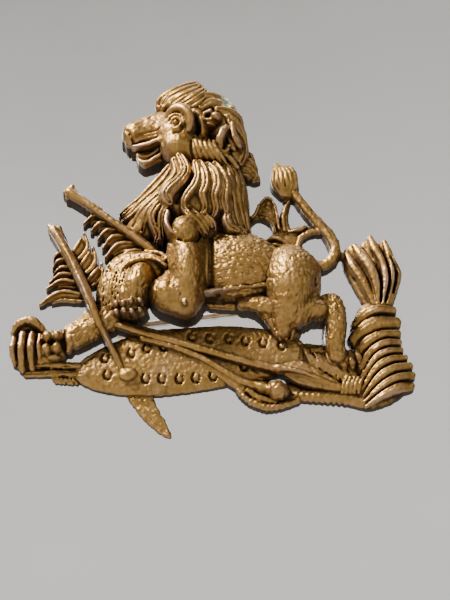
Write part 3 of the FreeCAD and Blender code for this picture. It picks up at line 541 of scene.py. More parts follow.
def far_upper_arm(wax):
    wax.oval((-12.8, -5.4), (3.1, 4.8), 4.2, 3.0, turn=-14)
    wax.oval((-9.8, -2.2), (4.2, 2.4), 4.4, 2.8, turn=-8, blend=0.8)
    wax.strand([(-12.9, -4.4, 3.7, 0.3), (-11.8, -2.7, 4.1, 0.36), (-9.6, -1.8, 4.4, 0.36),
                (-7.6, -2.0, 4.8, 0.3), (-6.2, -3.0, 5.1, 0.25)], blend=0.4)
    wax.lines(0.7, 0.3, [(-12.8, -8.4), (-12.7, -5.6), (-11.7, -3.5), (-10.0, -2.6), (-8.4, -3.2),
                         (-7.8, -4.6)])
    wax.strands(
        [(-13.4, -2.4, 3.4, 0.3), (-11.0, -1.4, 3.9, 0.32), (-8.6, -1.2, 4.4, 0.3),
         (-6.4, -2.2, 4.9, 0.26)],
        [(-9.0, -0.5, 3.8, 0.3), (-7.2, -0.9, 4.4, 0.3), (-6.0, -1.8, 4.8, 0.26)],
        blend=0.15)
    # long hair that hangs from the shoulder
    for k in range(9):
        x = -14.6 + 0.42 * k
        wax.strand([(x + 0.5, -1.9 - 0.1 * k, 3.0 + 0.12 * k, 0.2),
                    (x, -4.0 - 0.1 * k, 3.9 + 0.12 * k, 0.25), (x - 0.35, -6.4, 3.8 + 0.12 * k, 0.25),
                    (x - 0.35, -8.8, 3.1 + 0.1 * k, 0.2)], blend=0.05)
    wax.strokes(22, 260, (-15.6, -9.0), (-9.0, -1.0), 262, 0.5, 0.07, 0.085, spread=18)


def far_foreleg(wax):
    wax.strand([(-14.4, -10.0, 1.9, 2.1), (-16.6, -11.2, 2.2, 2.1), (-18.6, -12.4, 2.2, 1.9)], blend=0.3)
    wax.strand([(-14.6, -8.8, 2.2, 1.2), (-16.6, -9.4, 2.2, 1.1)], blend=0.5)
    wax.strand([(-19.6, -11.6, 2.6, 0.4), (-19.1, -13.2, 3.6, 0.62), (-19.4, -14.4, 2.6, 0.5)], blend=0.15)
    wax.lines(0.4, 0.16, [(-19.9, -12.0), (-19.9, -13.6), (-20.0, -15.0)])
    # hair that lies across the leg
    for k in range(7):
        wax.strand([(-14.4 - 0.5 * k, -8.6 - 0.34 * k, 3.6, 0.2),
                    (-15.6 - 0.5 * k, -10.2 - 0.3 * k, 4.0, 0.3),
                    (-17.4 - 0.35 * k, -11.7 - 0.3 * k, 3.4, 0.24)], blend=0.08)
    wax.strokes(23, 260, (-19.2, -13.4), (-13.8, -8.2), 218, 0.6, 0.09, 0.09, spread=16)


# each knuckle's place, its two radii and its summit, and each toe's place, its ends and its radius
KNUCKLES = (
    (-20.9, -12.7, 0.85, 0.8, 4.6),
    (-22.2, -12.8, 0.85, 0.85, 4.6),
    (-20.9, -14.3, 0.8, 0.8, 4.3),
    (-22.3, -14.5, 0.8, 0.85, 4.2),
    (-21.4, -15.5, 1.2, 0.5, 3.4),
)
LONG_TOES = (
    (-23.3, -12.4, -16.2, 0.36),
    (-24.4, -12.3, -16.8, 0.6),
    (-25.7, -12.3, -17.0, 0.6),
    (-26.8, -12.9, -16.2, 0.46),
)


def far_forepaw(wax):
    wax.slab([(-23.4, -11.6), (-20.0, -11.4), (-19.6, -13.6), (-20.2, -15.6), (-22.8, -16.2),
              (-26.0, -16.8), (-27.2, -15.6), (-27.5, -13.4), (-26.2, -12.2)], 2.4, edge=0.7, crown=0.5)
    for x, z, rx, rz, h in KNUCKLES:
        wax.oval((x, z), (rx, rz), h, 1.5, blend=0.12)
    wax.pit((-21.6, -13.6), 0.3, 0.3)
    for x, top, foot, r in LONG_TOES:
        middle = (top + foot) / 2
        toe = [(x, top, 3.0, r * 0.8), (x - 0.1, middle, 3.5, r), (x + 0.1, foot, 2.0, r * 0.7)]
        wax.strand(toe, blend=0.05)
    wax.lines(
        0.4, 0.13,
        [(-23.75, -12.6), (-23.85, -16.4)],
        [(-25.05, -12.5), (-25.1, -16.6)],
        [(-26.35, -12.7), (-26.35, -16.4)])
    wax.strand([(-27.1, -11.9, 2.4, 0.35), (-26.6, -11.0, 2.8, 0.5), (-25.4, -10.4, 3.2, 0.6),
                (-24.1, -10.6, 3.3, 0.6), (-23.2, -11.3, 3.0, 0.45), (-22.8, -11.8, 2.6, 0.3)], blend=0.1)
    wax.strand([(-26.3, -11.2, 1.8, 0.4), (-25.0, -10.9, 2.0, 0.5), (-23.8, -11.2, 2.0, 0.4)], blend=0.1)
    wax.strokes(26, 160, (-27.0, -19.8), (-16.6, -10.4), 262, 0.5, 0.05, 0.09, spread=30)


def haunch_hair(x, _):
    return 262 - 5 * (x - 11)


def haunch(wax):
    wax.slab([(8.3, -0.6), (10.4, -0.2), (13.0, -0.9), (14.7, -2.8), (15.0, -5.4), (14.8, -8.0),
              (13.6, -10.6), (11.2, -11.6), (9.0, -11.2), (8.0, -8.0), (7.9, -4.0)],
             5.0, edge=1.5, crown=1.1)
    wax.oval((11.0, -5.0), (3.6, 5.4), 8.2, 4.6, blend=0.9)
    wax.oval((12.4, -3.4), (2.7, 2.8), 7.2, 4.4, blend=0.9)
    wax.strand([(10.4, -8.4, 5.4, 1.7), (9.9, -10.6, 3.8, 1.3), (9.9, -11.8, 2.8, 1.1)], blend=0.7)
    wax.oval((14.6, -8.9), (2.4, 1.7), 5.4, 3.2, turn=-10, blend=0.7)
    wax.lines(0.3, 0.2, [(14.4, -5.0), (14.2, -7.0), (13.0, -8.6)])
    wax.strokes(29, 620, (7.8, 15.2), (-11.6, -0.6), haunch_hair, 0.42, 0.08, 0.085, spread=20)


def far_knee(wax):
    wax.strand([(4.5, -7.9, 3.0, 0.95), (6.2, -8.0, 3.4, 1.25), (8.6, -8.5, 3.4, 1.5)], blend=0.5)
    wax.strand([(7.4, -9.0, 2.6, 1.0), (8.8, -10.2, 2.6, 1.2), (9.4, -11.6, 2.2, 1.0)], blend=0.4)
    wax.strokes(31, 160, (3.8, 9.4), (-10.4, -6.4), 195, 0.5, 0.07, 0.085, spread=20)


def far_foot(wax):
    wax.slab([(8.3, -10.4), (10.2, -10.2), (12.1, -10.6), (12.2, -12.0), (11.2, -13.1), (9.6, -13.1),
              (8.6, -12.4)], 2.4, edge=0.8, crown=0.7)
    wax.strands(
        [(8.9, -11.0, 2.9, 0.4), (9.1, -12.1, 3.1, 0.42), (9.5, -12.8, 2.6, 0.3)],
        [(10.1, -11.3, 3.1, 0.4), (10.2, -12.3, 3.2, 0.42), (10.3, -12.9, 2.6, 0.3)],
        [(11.3, -11.0, 2.9, 0.4), (11.2, -12.0, 3.0, 0.42), (11.0, -12.7, 2.5, 0.3)],
        blend=0.1)
    wax.lines(0.3, 0.2, [(9.6, -11.4), (9.7, -12.6)], [(10.7, -11.4), (10.7, -12.6)])
    wax.strokes(33, 90, (8.4, 12.0), (-13.0, -10.2), 262, 0.4, 0.07, 0.085, spread=25)


def shank(wax):
    wax.strand([(15.2, -8.4, 3.4, 1.4), (16.7, -8.2, 3.8, 1.45), (17.1, -10.6, 3.8, 1.5),
                (16.9, -13.4, 3.4, 1.45), (17.3, -15.2, 2.8, 1.3)], blend=0.4)
    wax.strand([(13.2, -14.2, 1.5, 0.62), (15.2, -14.3, 1.8, 0.62), (16.4, -14.6, 2.4, 0.7)], blend=0.4)
    wax.strokes(37, 300, (15.4, 18.6), (-15.6, -7.0), 268, 0.45, 0.08, 0.085, spread=18)


def hind_paw(wax):
    wax.oval((18.2, -15.6), (2.4, 1.6), 3.1, 2.2, turn=15)
    for x, z, h in ((17.0, -16.5, 2.9), (18.1, -16.8, 3.2), (19.2, -16.5, 3.4), (20.1, -15.7, 3.3)):
        wax.strand([(x - 0.35, z + 1.1, h - 0.5, 0.34), (x, z + 0.2, h - 0.45, 0.46),
                    (x + 0.1, z - 0.35, h - 1.0, 0.34)], blend=0.06)
    wax.strand([(15.9, -15.0, 2.6, 0.3), (16.2, -16.0, 2.6, 0.36), (16.8, -16.6, 2.0, 0.3)], blend=0.08)
    wax.lines(0.26, 0.14, [(16.4, -15.2), (17.4, -15.5), (18.6, -15.0)])
    wax.strokes(39, 80, (16.0, 20.2), (-16.6, -14.0), 262, 0.4, 0.06, 0.085, spread=25)


# ---- the tail ---------------------------------------------------------------------------
def tail_hair(_, z):
    return 125 if z > 2 else 20


def tail(wax):
    wax.strand([(12.6, -0.9, 2.2, 0.9), (14.2, -1.8, 2.0, 0.8), (15.7, -1.9, 2.0, 0.8),
                (17.0, -0.8, 2.0, 0.8), (17.4, 0.7, 2.0, 0.78), (16.7, 2.6, 2.0, 0.78),
                (15.2, 4.5, 2.0, 0.75), (13.6, 6.5, 2.0, 0.7), (12.4, 8.3, 2.0, 0.66),
                (11.8, 9.2, 2.0, 0.6)], blend=0.2)
    wax.strand([(12.2, -0.2, 1.8, 0.6), (12.2, 1.2, 1.8, 0.42), (12.7, 2.4, 1.9, 0.42),
                (13.9, 3.2, 1.9, 0.42), (15.3, 3.4, 1.8, 0.45)], blend=0.15)
    wax.strand([(17.2, 1.9, 2.0, 0.4), (17.9, 2.0, 1.8, 0.2)], blend=0.12)
    wax.strand([(17.4, 0.5, 1.0, 0.4), (18.6, -0.1, 1.0, 0.5), (19.6, -0.4, 1.0, 0.5)], blend=0.15)
    wax.lines(0.14, 0.13, [(13.0, 7.6), (14.6, 5.7), (16.2, 3.8), (17.2, 1.8)])
    wax.strokes(41, 160, (12.2, 18.0), (-2.4, 8.4), tail_hair, 0.5, 0.05, 0.09)


def tail_tuft(wax):
    wax.slab([(8.9, 13.8), (9.5, 14.1), (11.0, 13.2), (12.1, 11.8), (12.5, 10.4), (12.1, 9.1),
              (11.0, 8.4), (9.7, 8.8), (8.8, 10.4), (8.7, 12.4)], 2.0, edge=0.7, crown=0.6)
    # hairs drawn together at both ends
    for k in range(6):
        s = k / 5
        wax.strand([(9.2 + 0.3 * s, 13.9 - 0.2 * s, 2.0, 0.16),
                    (8.9 + 2.6 * s, 11.8 + 0.9 * s, 2.5 + s * (1 - s), 0.34),
                    (9.0 + 3.0 * s, 10.2 + 0.2 * s, 2.6 + s * (1 - s), 0.36),
                    (10.0 + 1.3 * s, 8.8, 2.0, 0.2)], blend=0.06)
    wax.strokes(44, 60, (9.0, 12.2), (8.8, 13.4), 285, 0.6, 0.06, 0.08, spread=12)


def tie_bar(wax):
    wax.strand([(10.6, 8.4, 1.0, 0.45), (11.6, 8.6, 1.1, 0.45), (12.4, 8.9, 1.0, 0.45)], blend=0.1)


def leaves(wax):
    wax.slab([(5.6, 2.0), (4.9, 3.4), (5.2, 5.0), (5.9, 5.9), (6.5, 6.6), (6.9, 8.0), (7.9, 8.7),
              (9.0, 8.0), (9.4, 6.2), (9.6, 4.0), (10.4, 3.6), (12.0, 3.4), (12.6, 2.0), (12.9, 0.2),
              (9.2, 0.2)], 1.5, edge=0.35, crown=0.4)
    wax.slab([(10.0, 3.2), (9.8, 5.0), (10.0, 6.8), (10.8, 7.9), (11.3, 8.2), (11.0, 6.8), (10.9, 5.2),
              (11.1, 3.8)], 1.8, edge=0.3, crown=0.3)
    wax.slab([(10.9, 3.9), (12.4, 4.4), (14.0, 4.4), (15.2, 3.4), (12.6, 2.2), (11.2, 2.6)], 1.2, edge=0.3)
    wax.pierce([(5.5, 3.2), (5.8, 4.6), (6.7, 5.2), (7.8, 4.9), (8.7, 4.0), (8.5, 2.8), (7.2, 1.7),
                (6.0, 2.1)])
    wax.strands(
        [(5.2, 5.1, 1.8, 0.22), (6.2, 5.9, 2.0, 0.26), (6.9, 7.4, 2.1, 0.26), (7.9, 8.5, 1.9, 0.22),
         (8.8, 7.8, 2.0, 0.24), (9.3, 5.8, 2.1, 0.24), (9.6, 3.6, 2.1, 0.22)],
        [(6.6, 5.7, 1.8, 0.2), (7.8, 5.4, 2.0, 0.28), (8.7, 4.5, 2.0, 0.26), (9.1, 3.2, 2.0, 0.2)],
        [(10.4, 3.4, 1.9, 0.2), (10.2, 5.2, 2.1, 0.28), (10.5, 6.8, 2.1, 0.26), (11.1, 8.0, 1.9, 0.16)],
        [(7.2, 1.6, 1.9, 0.24), (8.6, 2.2, 2.2, 0.3), (10.0, 1.8, 2.4, 0.34), (11.6, 0.5, 2.3, 0.3)],
        [(7.0, 1.0, 1.8, 0.24), (8.8, 1.2, 2.2, 0.3), (10.6, 0.7, 2.3, 0.3)],
        [(11.0, 3.4, 1.8, 0.2), (12.2, 3.5, 2.0, 0.3), (13.4, 4.1, 1.9, 0.22)],
        blend=0.1)
    wax.strokes(45, 120, (6.6, 9.2), (5.4, 8.2), 262, 0.4, 0.05, 0.085, spread=30)


# ---- arrows, spear and club -------------------------------------------------------------
def arrow_shaft(wax, points, height, thick, thin):
    """A shaft that thins towards its head, with a ridge along its upper side."""
    radii = np.linspace(thick, thin, len(points))
    wax.strand([(x, z, height - r, r) for (x, z), r in zip(points, radii)], blend=0.1)
    wax.strand([(x, z, height - 0.24, 0.26) for x, z in points], blend=0.12)


def barb(wax, root, tip, width, height, bend=0.12):
    """One barb of a flight: a curved leaf with a raised upper edge and a hollow below it."""
    root, tip = np.array(root), np.array(tip)
    run = tip - root
    up = np.array((-run[1], run[0])) / math.hypot(*run)
    up *= 1 if up[1] > 0 else -1
    middle = root + 0.5 * run + bend * math.hypot(*run) * up
    half = up * width / 2
    leaf = [root - half, middle - half * 1.2, tip, middle + half * 1.1, root + half]
    wax.slab(leaf, height - 0.4, edge=0.15)
    edge = [(*(root + half * 0.8), height - 0.3, 0.2), (*(middle + half), height - 0.1, 0.24),
            (*tip, height - 0.4, 0.1)]
    wax.strand(edge, blend=0.06)
    wax.engrave([root - half * 0.2, middle - half * 0.2, root + 0.85 * run], 0.35, 0.16)


def chest_arrow(wax):
    shaft = [(-20.0, 8.7), (-17.0, 6.6), (-13.2, 3.8), (-9.6, 1.1), (-6.2, -1.8)]
    arrow_shaft(wax, shaft, 4.2, 0.66, 0.5)
    wax.strands(
        [(-20.6, 9.0, 2.9, 0.42), (-19.7, 9.6, 3.2, 0.42)],
        [(-20.2, 8.2, 3.2, 0.36), (-19.3, 8.8, 3.4, 0.36)],
        blend=0.1)
    wax.lines(0.14, 0.1, [(-19.0, 8.6), (-13.0, 4.2), (-7.0, -0.6)])


CHEST_BARBS = (
    ((-14.9, 5.0), (-18.0, 4.2), 0.75),
    ((-13.9, 4.0), (-16.9, 3.1), 0.8),
    ((-12.9, 3.0), (-15.9, 1.8), 0.85),
    ((-11.7, 2.1), (-15.2, 0.5), 0.95),
    ((-10.4, 0.9), (-14.8, -0.9), 1.15),
    ((-8.8, -0.2), (-13.4, -1.9), 0.9),
)


def chest_flights(wax):
    wax.strand([(-15.6, 4.8, 1.8, 0.3), (-12.0, 2.0, 1.9, 0.6), (-8.6, -0.8, 2.0, 0.5)], blend=0.1)
    for root, tip, width in CHEST_BARBS:
        barb(wax, root, tip, width, 3.0)


def crossing_arrow(wax):
    wax.strand([(-22.1, 3.0, 3.4, 0.62), (-20.4, 0.2, 3.7, 0.68), (-18.7, -3.0, 4.0, 0.66),
                (-17.1, -6.4, 4.4, 0.6), (-15.6, -10.2, 4.5, 0.5), (-13.9, -13.4, 3.2, 0.45),
                (-12.3, -16.6, 2.3, 0.42), (-11.6, -17.8, 2.1, 0.4)], blend=0.1)
    wax.strand([(-22.0, 3.1, 3.9, 0.22), (-18.9, -2.8, 4.5, 0.24), (-16.0, -9.4, 4.9, 0.22),
                (-12.8, -15.8, 2.7, 0.2)], blend=0.1)
    wax.strands(
        [(-22.6, 3.6, 3.2, 0.4), (-22.0, 2.8, 3.5, 0.5)],
        [(-21.4, 3.5, 2.8, 0.42), (-20.9, 2.4, 2.8, 0.42)],
        blend=0.1)
    wax.oval((-11.2, -17.8), (1.3, 0.95), 3.0, 0.8, turn=10, blend=0.06)


LEFT_BARBS = (
    ((-20.5, -0.3), (-22.0, -1.2), 0.5),
    ((-20.0, -1.4), (-22.1, -2.3), 0.6),
    ((-19.4, -2.6), (-22.0, -3.3), 0.6),
    ((-18.9, -3.7), (-22.4, -4.4), 0.7),
    ((-18.4, -4.9), (-22.8, -5.4), 0.75),
    ((-17.6, -6.8), (-23.7, -7.7), 1.15),
)
RIGHT_BARBS = (
    ((-19.2, -0.9), (-17.8, 3.1), 1.5),
    ((-18.1, -2.9), (-16.5, 0.9), 1.5),
    ((-17.1, -4.8), (-15.2, -1.5), 1.2),
)


def crossing_flights(wax):
    wax.strand([(-20.2, -0.2, 1.8, 0.4), (-18.0, -4.4, 1.8, 0.6), (-16.4, -7.6, 1.8, 0.5)], blend=0.1)
    for root, tip, width in LEFT_BARBS:
        barb(wax, root, tip, width, 2.7)
    for root, tip, width in RIGHT_BARBS:
        barb(wax, root, tip, width, 2.7, bend=-0.14)


def spear(wax):
    shaft = [(-14.4, -10.4), (-8.3, -12.3), (-1.4, -14.3), (5.4, -16.3), (9.8, -17.3)]
    arrow_shaft(wax, shaft, 3.3, 0.5, 0.56)
    wax.strand([(-14.4, -10.0, 2.2, 0.4), (-8.2, -11.7, 2.2, 0.5), (-4.0, -12.9, 2.1, 0.3)], blend=0.1)
    wax.slab([(9.4, -16.7), (11.8, -15.9), (14.4, -16.9), (18.3, -20.0), (14.6, -19.9), (10.8, -18.7)],
             2.7, edge=0.3, crown=0.5)
    wax.strand([(9.2, -17.1, 3.1, 0.5), (12.4, -17.8, 3.4, 0.34), (17.8, -19.8, 2.6, 0.16)], blend=0.15)
    wax.strokes(43, 120, (9.8, 17.0), (-19.8, -16.2), 158, 0.6, 0.05, 0.09)


def club(wax):
    handle = [(-9.4, -12.8), (-5.2, -13.9), (-1.4, -15.5), (2.0, -17.5), (4.4, -18.9), (6.8, -19.6)]
    arrow_shaft(wax, handle, 3.0, 0.4, 0.5)
    wax.strand([(-4.0, -14.3, 1.9, 0.35), (0.6, -17.3, 1.9, 0.5), (4.2, -19.7, 1.8, 0.6)], blend=0.1)
    wax.oval((9.0, -20.1), (1.75, 1.4), 4.4, 2.4, turn=-12, blend=0.3)
    wax.oval((7.2, -19.7), (1.6, 0.9), 3.4, 1.8, turn=-14, blend=0.3)
    wax.lines(0.2, 0.14, [(7.6, -18.9), (8.0, -20.2), (7.7, -21.2)])
    wax.strokes(47, 90, (7.2, 10.6), (-21.2, -18.8), 20, 0.45, 0.05, 0.085, spread=30)


# ---- the shield and what lies round it --------------------------------------------------
SHIELD = (
    (-18.6, -17.8), (-18.2, -16.2), (-16.9, -14.9), (-14.4, -13.5), (-11.0, -12.0), (-8.0, -11.2),
    (-4.0, -10.9), (0.5, -10.6), (4.4, -10.7), (8.4, -11.2), (11.6, -12.2), (12.9, -13.4),
    (12.9, -15.2), (12.0, -16.6), (8.2, -18.2), (4.0, -18.8), (0.0, -19.6), (-4.0, -20.2),
    (-8.2, -20.6), (-12.0, -20.4), (-15.0, -19.9), (-17.4, -19.0),
)
# where the crescent marks are punched, the upper row first
MARKS = (
    (-14.4, -15.4), (-10.8, -14.7), (-8.7, -14.0), (-6.4, -13.7), (-2.6, -12.3), (-0.1, -12.5),
    (2.5, -12.6), (4.8, -12.9), (7.2, -13.2), (9.8, -13.6), (-14.0, -17.8), (-8.8, -18.3),
    (-6.6, -18.3), (-4.2, -18.3), (-2.0, -18.2), (0.4, -17.9), (4.6, -16.5),
)


def shield(wax):
    wax.slab(SHIELD, 1.55, edge=0.25, crown=0.75)
    wax.lines(
        0.16, 0.14,
        [(-17.9, -17.6), (-17.5, -16.2), (-15.8, -14.9)],
        [(11.4, -12.6), (12.3, -13.6), (12.2, -15.4)])
    for x, z in MARKS:
        ring = [(x - 0.3, z + 0.6), (x - 0.56, z), (x - 0.3, z - 0.58), (x + 0.22, z - 0.64),
                (x + 0.52, z - 0.12), (x + 0.44, z + 0.42)]
        wax.engrave(ring[:4], 0.55, 0.14)
        wax.engrave(ring[3:], 0.34, 0.12)
        wax.pit((x - 0.02, z), 0.3, -0.06)
    wax.lines(0.2, 0.12, [(6.6, -18.2), (7.8, -18.1), (8.8, -17.6)], [(5.6, -17.0), (6.4, -17.5)])
    wax.strokes(53, 900, (-18.0, 12.4), (-20.2, -11.0), 170, 0.32, 0.055, 0.09, spread=90)


def stick(wax):
    wax.strands(
        [(-25.3, -16.5, 1.3, 0.5), (-22.0, -16.3, 1.5, 0.5), (-18.0, -16.4, 1.5, 0.5)],
        [(-25.2, -17.5, 1.2, 0.42), (-22.0, -17.4, 1.4, 0.46), (-18.2, -17.5, 1.4, 0.46)],
        [(12.6, -13.6, 1.4, 0.4), (14.4, -13.7, 1.5, 0.4), (16.0, -14.0, 1.4, 0.4)],
        [(12.8, -14.7, 1.2, 0.34), (14.4, -14.9, 1.3, 0.34), (16.0, -15.2, 1.2, 0.34)],
        blend=0.08)
    # the binding under the stick
    for k in range(6):
        x = -21.2 + 0.56 * k
        wax.strand([(x - 0.3, -18.0 - 0.04 * k, 1.3, 0.2),
                    (x + 0.15, -18.55 - 0.04 * k, 1.2, 0.24)], blend=0.05)
    wax.lines(0.16, 0.1, [(-25.2, -16.7), (-19.0, -16.5)], [(-25.0, -17.5), (-19.0, -17.4)])
    wax.strokes(56, 90, (-25.4, -18.4), (-17.9, -16.1), 178, 0.6, 0.05, 0.085, spread=8)


def lower_point(wax):
    wax.slab([(-11.4, -20.0), (-8.4, -20.0), (-7.2, -22.2), (-6.0, -24.2), (-5.3, -26.2), (-6.4, -26.0),
              (-8.2, -24.5), (-9.8, -22.9)], 1.1, edge=0.25, crown=0.3)
    wax.lines(0.16, 0.14, [(-9.9, -21.4), (-8.2, -23.4), (-6.0, -25.8)])
    wax.strokes(58, 60, (-10.6, -5.8), (-25.8, -20.6), 308, 0.6, 0.06, 0.09)


def bowl(wax):
    wax.slab([(3.4, -19.3), (4.0, -20.8), (5.4, -21.9), (7.4, -22.8), (9.4, -22.5), (11.8, -21.6),
              (12.4, -19.6), (9.0, -18.6), (5.0, -18.6)], 1.5, edge=0.4, crown=0.4)
    rim = [(3.9, -20.0, 2.0, 0.4), (4.9, -21.2, 2.1, 0.42), (6.4, -22.0, 2.1, 0.45),
           (7.8, -22.4, 2.1, 0.45), (9.6, -22.1, 2.0, 0.42), (11.8, -21.3, 1.9, 0.4)]
    wax.strand(rim, blend=0.1)
    # nicks along the rim
    for x, z in flowing(rim)[2:23:2, :2]:
        wax.engrave([(x - 0.25, z - 0.45), (x + 0.3, z + 0.5)], 0.09, 0.11)
    wax.strand([(5.0, -19.9, 2.0, 0.5), (6.6, -21.0, 2.0, 0.45), (8.8, -21.5, 1.9, 0.4)], blend=0.1)


def twisted_band(wax):
    wax.strand([(11.4, -20.6, 1.3, 0.72), (15.0, -20.7, 1.5, 0.78), (18.0, -20.9, 1.5, 0.8),
                (20.6, -21.6, 1.4, 0.8)], blend=0.1)
    # the turns of the twist
    for k in range(12):
        x = 11.6 + 0.78 * k
        z = -20.6 - 0.09 * (x - 11.6)
        wax.strand([(x - 0.35, z - 0.45, 1.7, 0.26), (x, z, 2.15 - 0.02 * k, 0.3),
                    (x + 0.35, z + 0.45, 1.9, 0.26)], blend=0.14)
    wax.strokes(61, 60, (15.0, 20.4), (-21.8, -20.0), 55, 0.5, 0.06, 0.085)


def fur(wax):
    wax.slab([(12.2, -15.4), (12.6, -13.2), (15.0, -13.4), (17.4, -14.8), (19.6, -16.0), (21.0, -17.0),
              (21.0, -20.8), (18.0, -20.8), (15.4, -19.6), (13.2, -17.6)], 1.5, edge=0.4, crown=0.4)
    rng = np.random.default_rng(59)
    # hanging tufts, then the short upright ones at the right
    for k in range(15):
        x, z = 12.6 + 0.46 * k, -13.4 - 0.22 * k + rng.normal(0, 0.1)
        wave = rng.uniform(0.1, 0.5)
        wax.strand([(x, z, 2.0, 0.16), (x + wave, z - 1.2, 2.3, 0.22), (x + 0.9, z - 2.3, 2.3, 0.22),
                    (x + 0.9 + wave, z - 3.3, 2.1, 0.18)], blend=0.04)
    for k in range(5):
        x = 17.8 + 0.55 * k
        wax.strand([(x, -20.4, 2.4, 0.26), (x + 0.2, -19.4, 2.7, 0.26),
                    (x + 0.7, -18.2, 2.5, 0.14)], blend=0.04)


# ---- the plume and the wrapped stem at the right ----------------------------------------
def plume_hair(x, _):
    return 292 - 5.6 * (x - 19)


def plume(wax):
    wax.slab([(18.7, 0.6), (19.6, 1.6), (20.6, 1.2), (21.6, 2.2), (22.4, 2.7), (23.2, 1.6), (24.3, 2.1),
              (25.2, 0.4), (26.1, -1.0), (26.5, -2.8), (25.9, -5.0), (24.9, -7.8), (21.8, -7.9),
              (19.8, -4.6), (18.6, -1.8)], 1.4, edge=0.4, crown=0.4)
    wax.locks(
        [(25.9, -1.5, 1.6, 0.22), (26.2, -2.9, 1.9, 0.34), (25.7, -4.9, 2.1, 0.36),
         (24.8, -7.4, 2.1, 0.26)],
        [(24.4, 1.8, 1.8, 0.3), (24.9, 0.0, 2.2, 0.5), (25.3, -2.2, 2.4, 0.5), (25.1, -4.6, 2.4, 0.42),
         (24.4, -7.5, 2.3, 0.3)],
        [(22.4, 2.4, 1.9, 0.36), (23.0, 0.6, 2.4, 0.62), (24.0, -1.6, 2.7, 0.6), (24.3, -4.2, 2.8, 0.5),
         (23.8, -7.6, 2.5, 0.34)],
        [(20.2, 1.2, 1.8, 0.4), (21.0, -0.2, 2.3, 0.75), (22.2, -2.2, 2.7, 0.8), (22.9, -4.6, 2.8, 0.6),
         (23.2, -7.6, 2.5, 0.36)],
        [(19.1, 0.0, 1.7, 0.32), (19.8, -1.8, 2.2, 0.6), (21.1, -4.2, 2.4, 0.6), (22.5, -7.6, 2.3, 0.38)],
        parts=1, bed=1.15)
    wax.lines(
        0.5, 0.15,
        [(21.4, 0.8), (22.8, -1.9), (23.6, -4.4), (23.5, -7.4)],
        [(23.6, 0.8), (24.5, -1.8), (24.8, -4.4), (24.1, -7.4)],
        [(25.1, -0.6), (25.8, -3.2), (25.3, -6.0)])
    wax.strokes(63, 170, (18.8, 26.0), (-7.0, 1.6), plume_hair, 0.5, 0.045, 0.085, spread=8)


STEM_FOLDS = (
    ((20.4, -9.4), (21.6, -8.4), (23.2, -8.0), (24.9, -7.8)),
    ((19.6, -11.4), (21.0, -10.2), (22.9, -9.4), (25.3, -9.2)),
    ((19.5, -13.8), (21.0, -12.6), (22.9, -11.8), (25.6, -11.2)),
    ((20.2, -15.6), (21.8, -14.0), (23.6, -13.0), (25.7, -12.6)),
    ((20.8, -17.2), (22.2, -15.2), (24.0, -14.2), (25.8, -13.8)),
    ((20.6, -19.0), (22.2, -16.6), (24.0, -15.4), (26.1, -14.9)),
    ((20.6, -20.4), (22.4, -17.9), (24.4, -16.6), (26.8, -15.9)),
    ((20.8, -21.2), (22.8, -19.2), (25.0, -17.9), (27.3, -17.2)),
    ((20.8, -22.0), (23.0, -20.4), (25.2, -19.2), (27.3, -18.6)),
    ((21.2, -22.5), (23.2, -21.5), (25.2, -20.6), (26.7, -20.2)),
)
FOLD_TOPS = (2.5, 3.6, 3.8, 2.7)            # how high each point of a fold stands
FOLD_SHARES = (0.3, 0.46, 0.46, 0.4)        # its radius, as a share of the gap it fills


def stem(wax):
    wax.slab([(21.2, -7.4), (24.6, -7.4), (25.4, -9.4), (25.7, -13.0), (26.6, -15.0), (27.2, -16.6),
              (27.2, -18.8), (26.2, -20.4), (24.0, -21.8), (21.2, -22.5), (19.7, -21.4), (19.9, -17.6),
              (19.2, -13.6), (19.5, -10.4)], 1.8, edge=0.6, crown=0.9)
    for above, below in zip(STEM_FOLDS, STEM_FOLDS[1:]):
        run = []
        for (x, z), (u, v), rise, share in zip(above, below, FOLD_TOPS, FOLD_SHARES):
            gap = math.hypot(u - x, v - z)
            run.append(((x + u) / 2, (z + v) / 2, rise - share * gap, share * gap))
        wax.strand(run, blend=0.05, flat=0.7)
        # a fine line along the fold, clear of both its ends
        wax.lines(0.16, 0.1, beside(run, 0.22)[3:-4:3, :2])
    for fold in STEM_FOLDS[1:-1]:
        wax.engrave(fold, 0.3, 0.12)
    wax.strokes(65, 120, (19.8, 26.8), (-21.8, -8.0), 30, 0.6, 0.045, 0.085, spread=10)


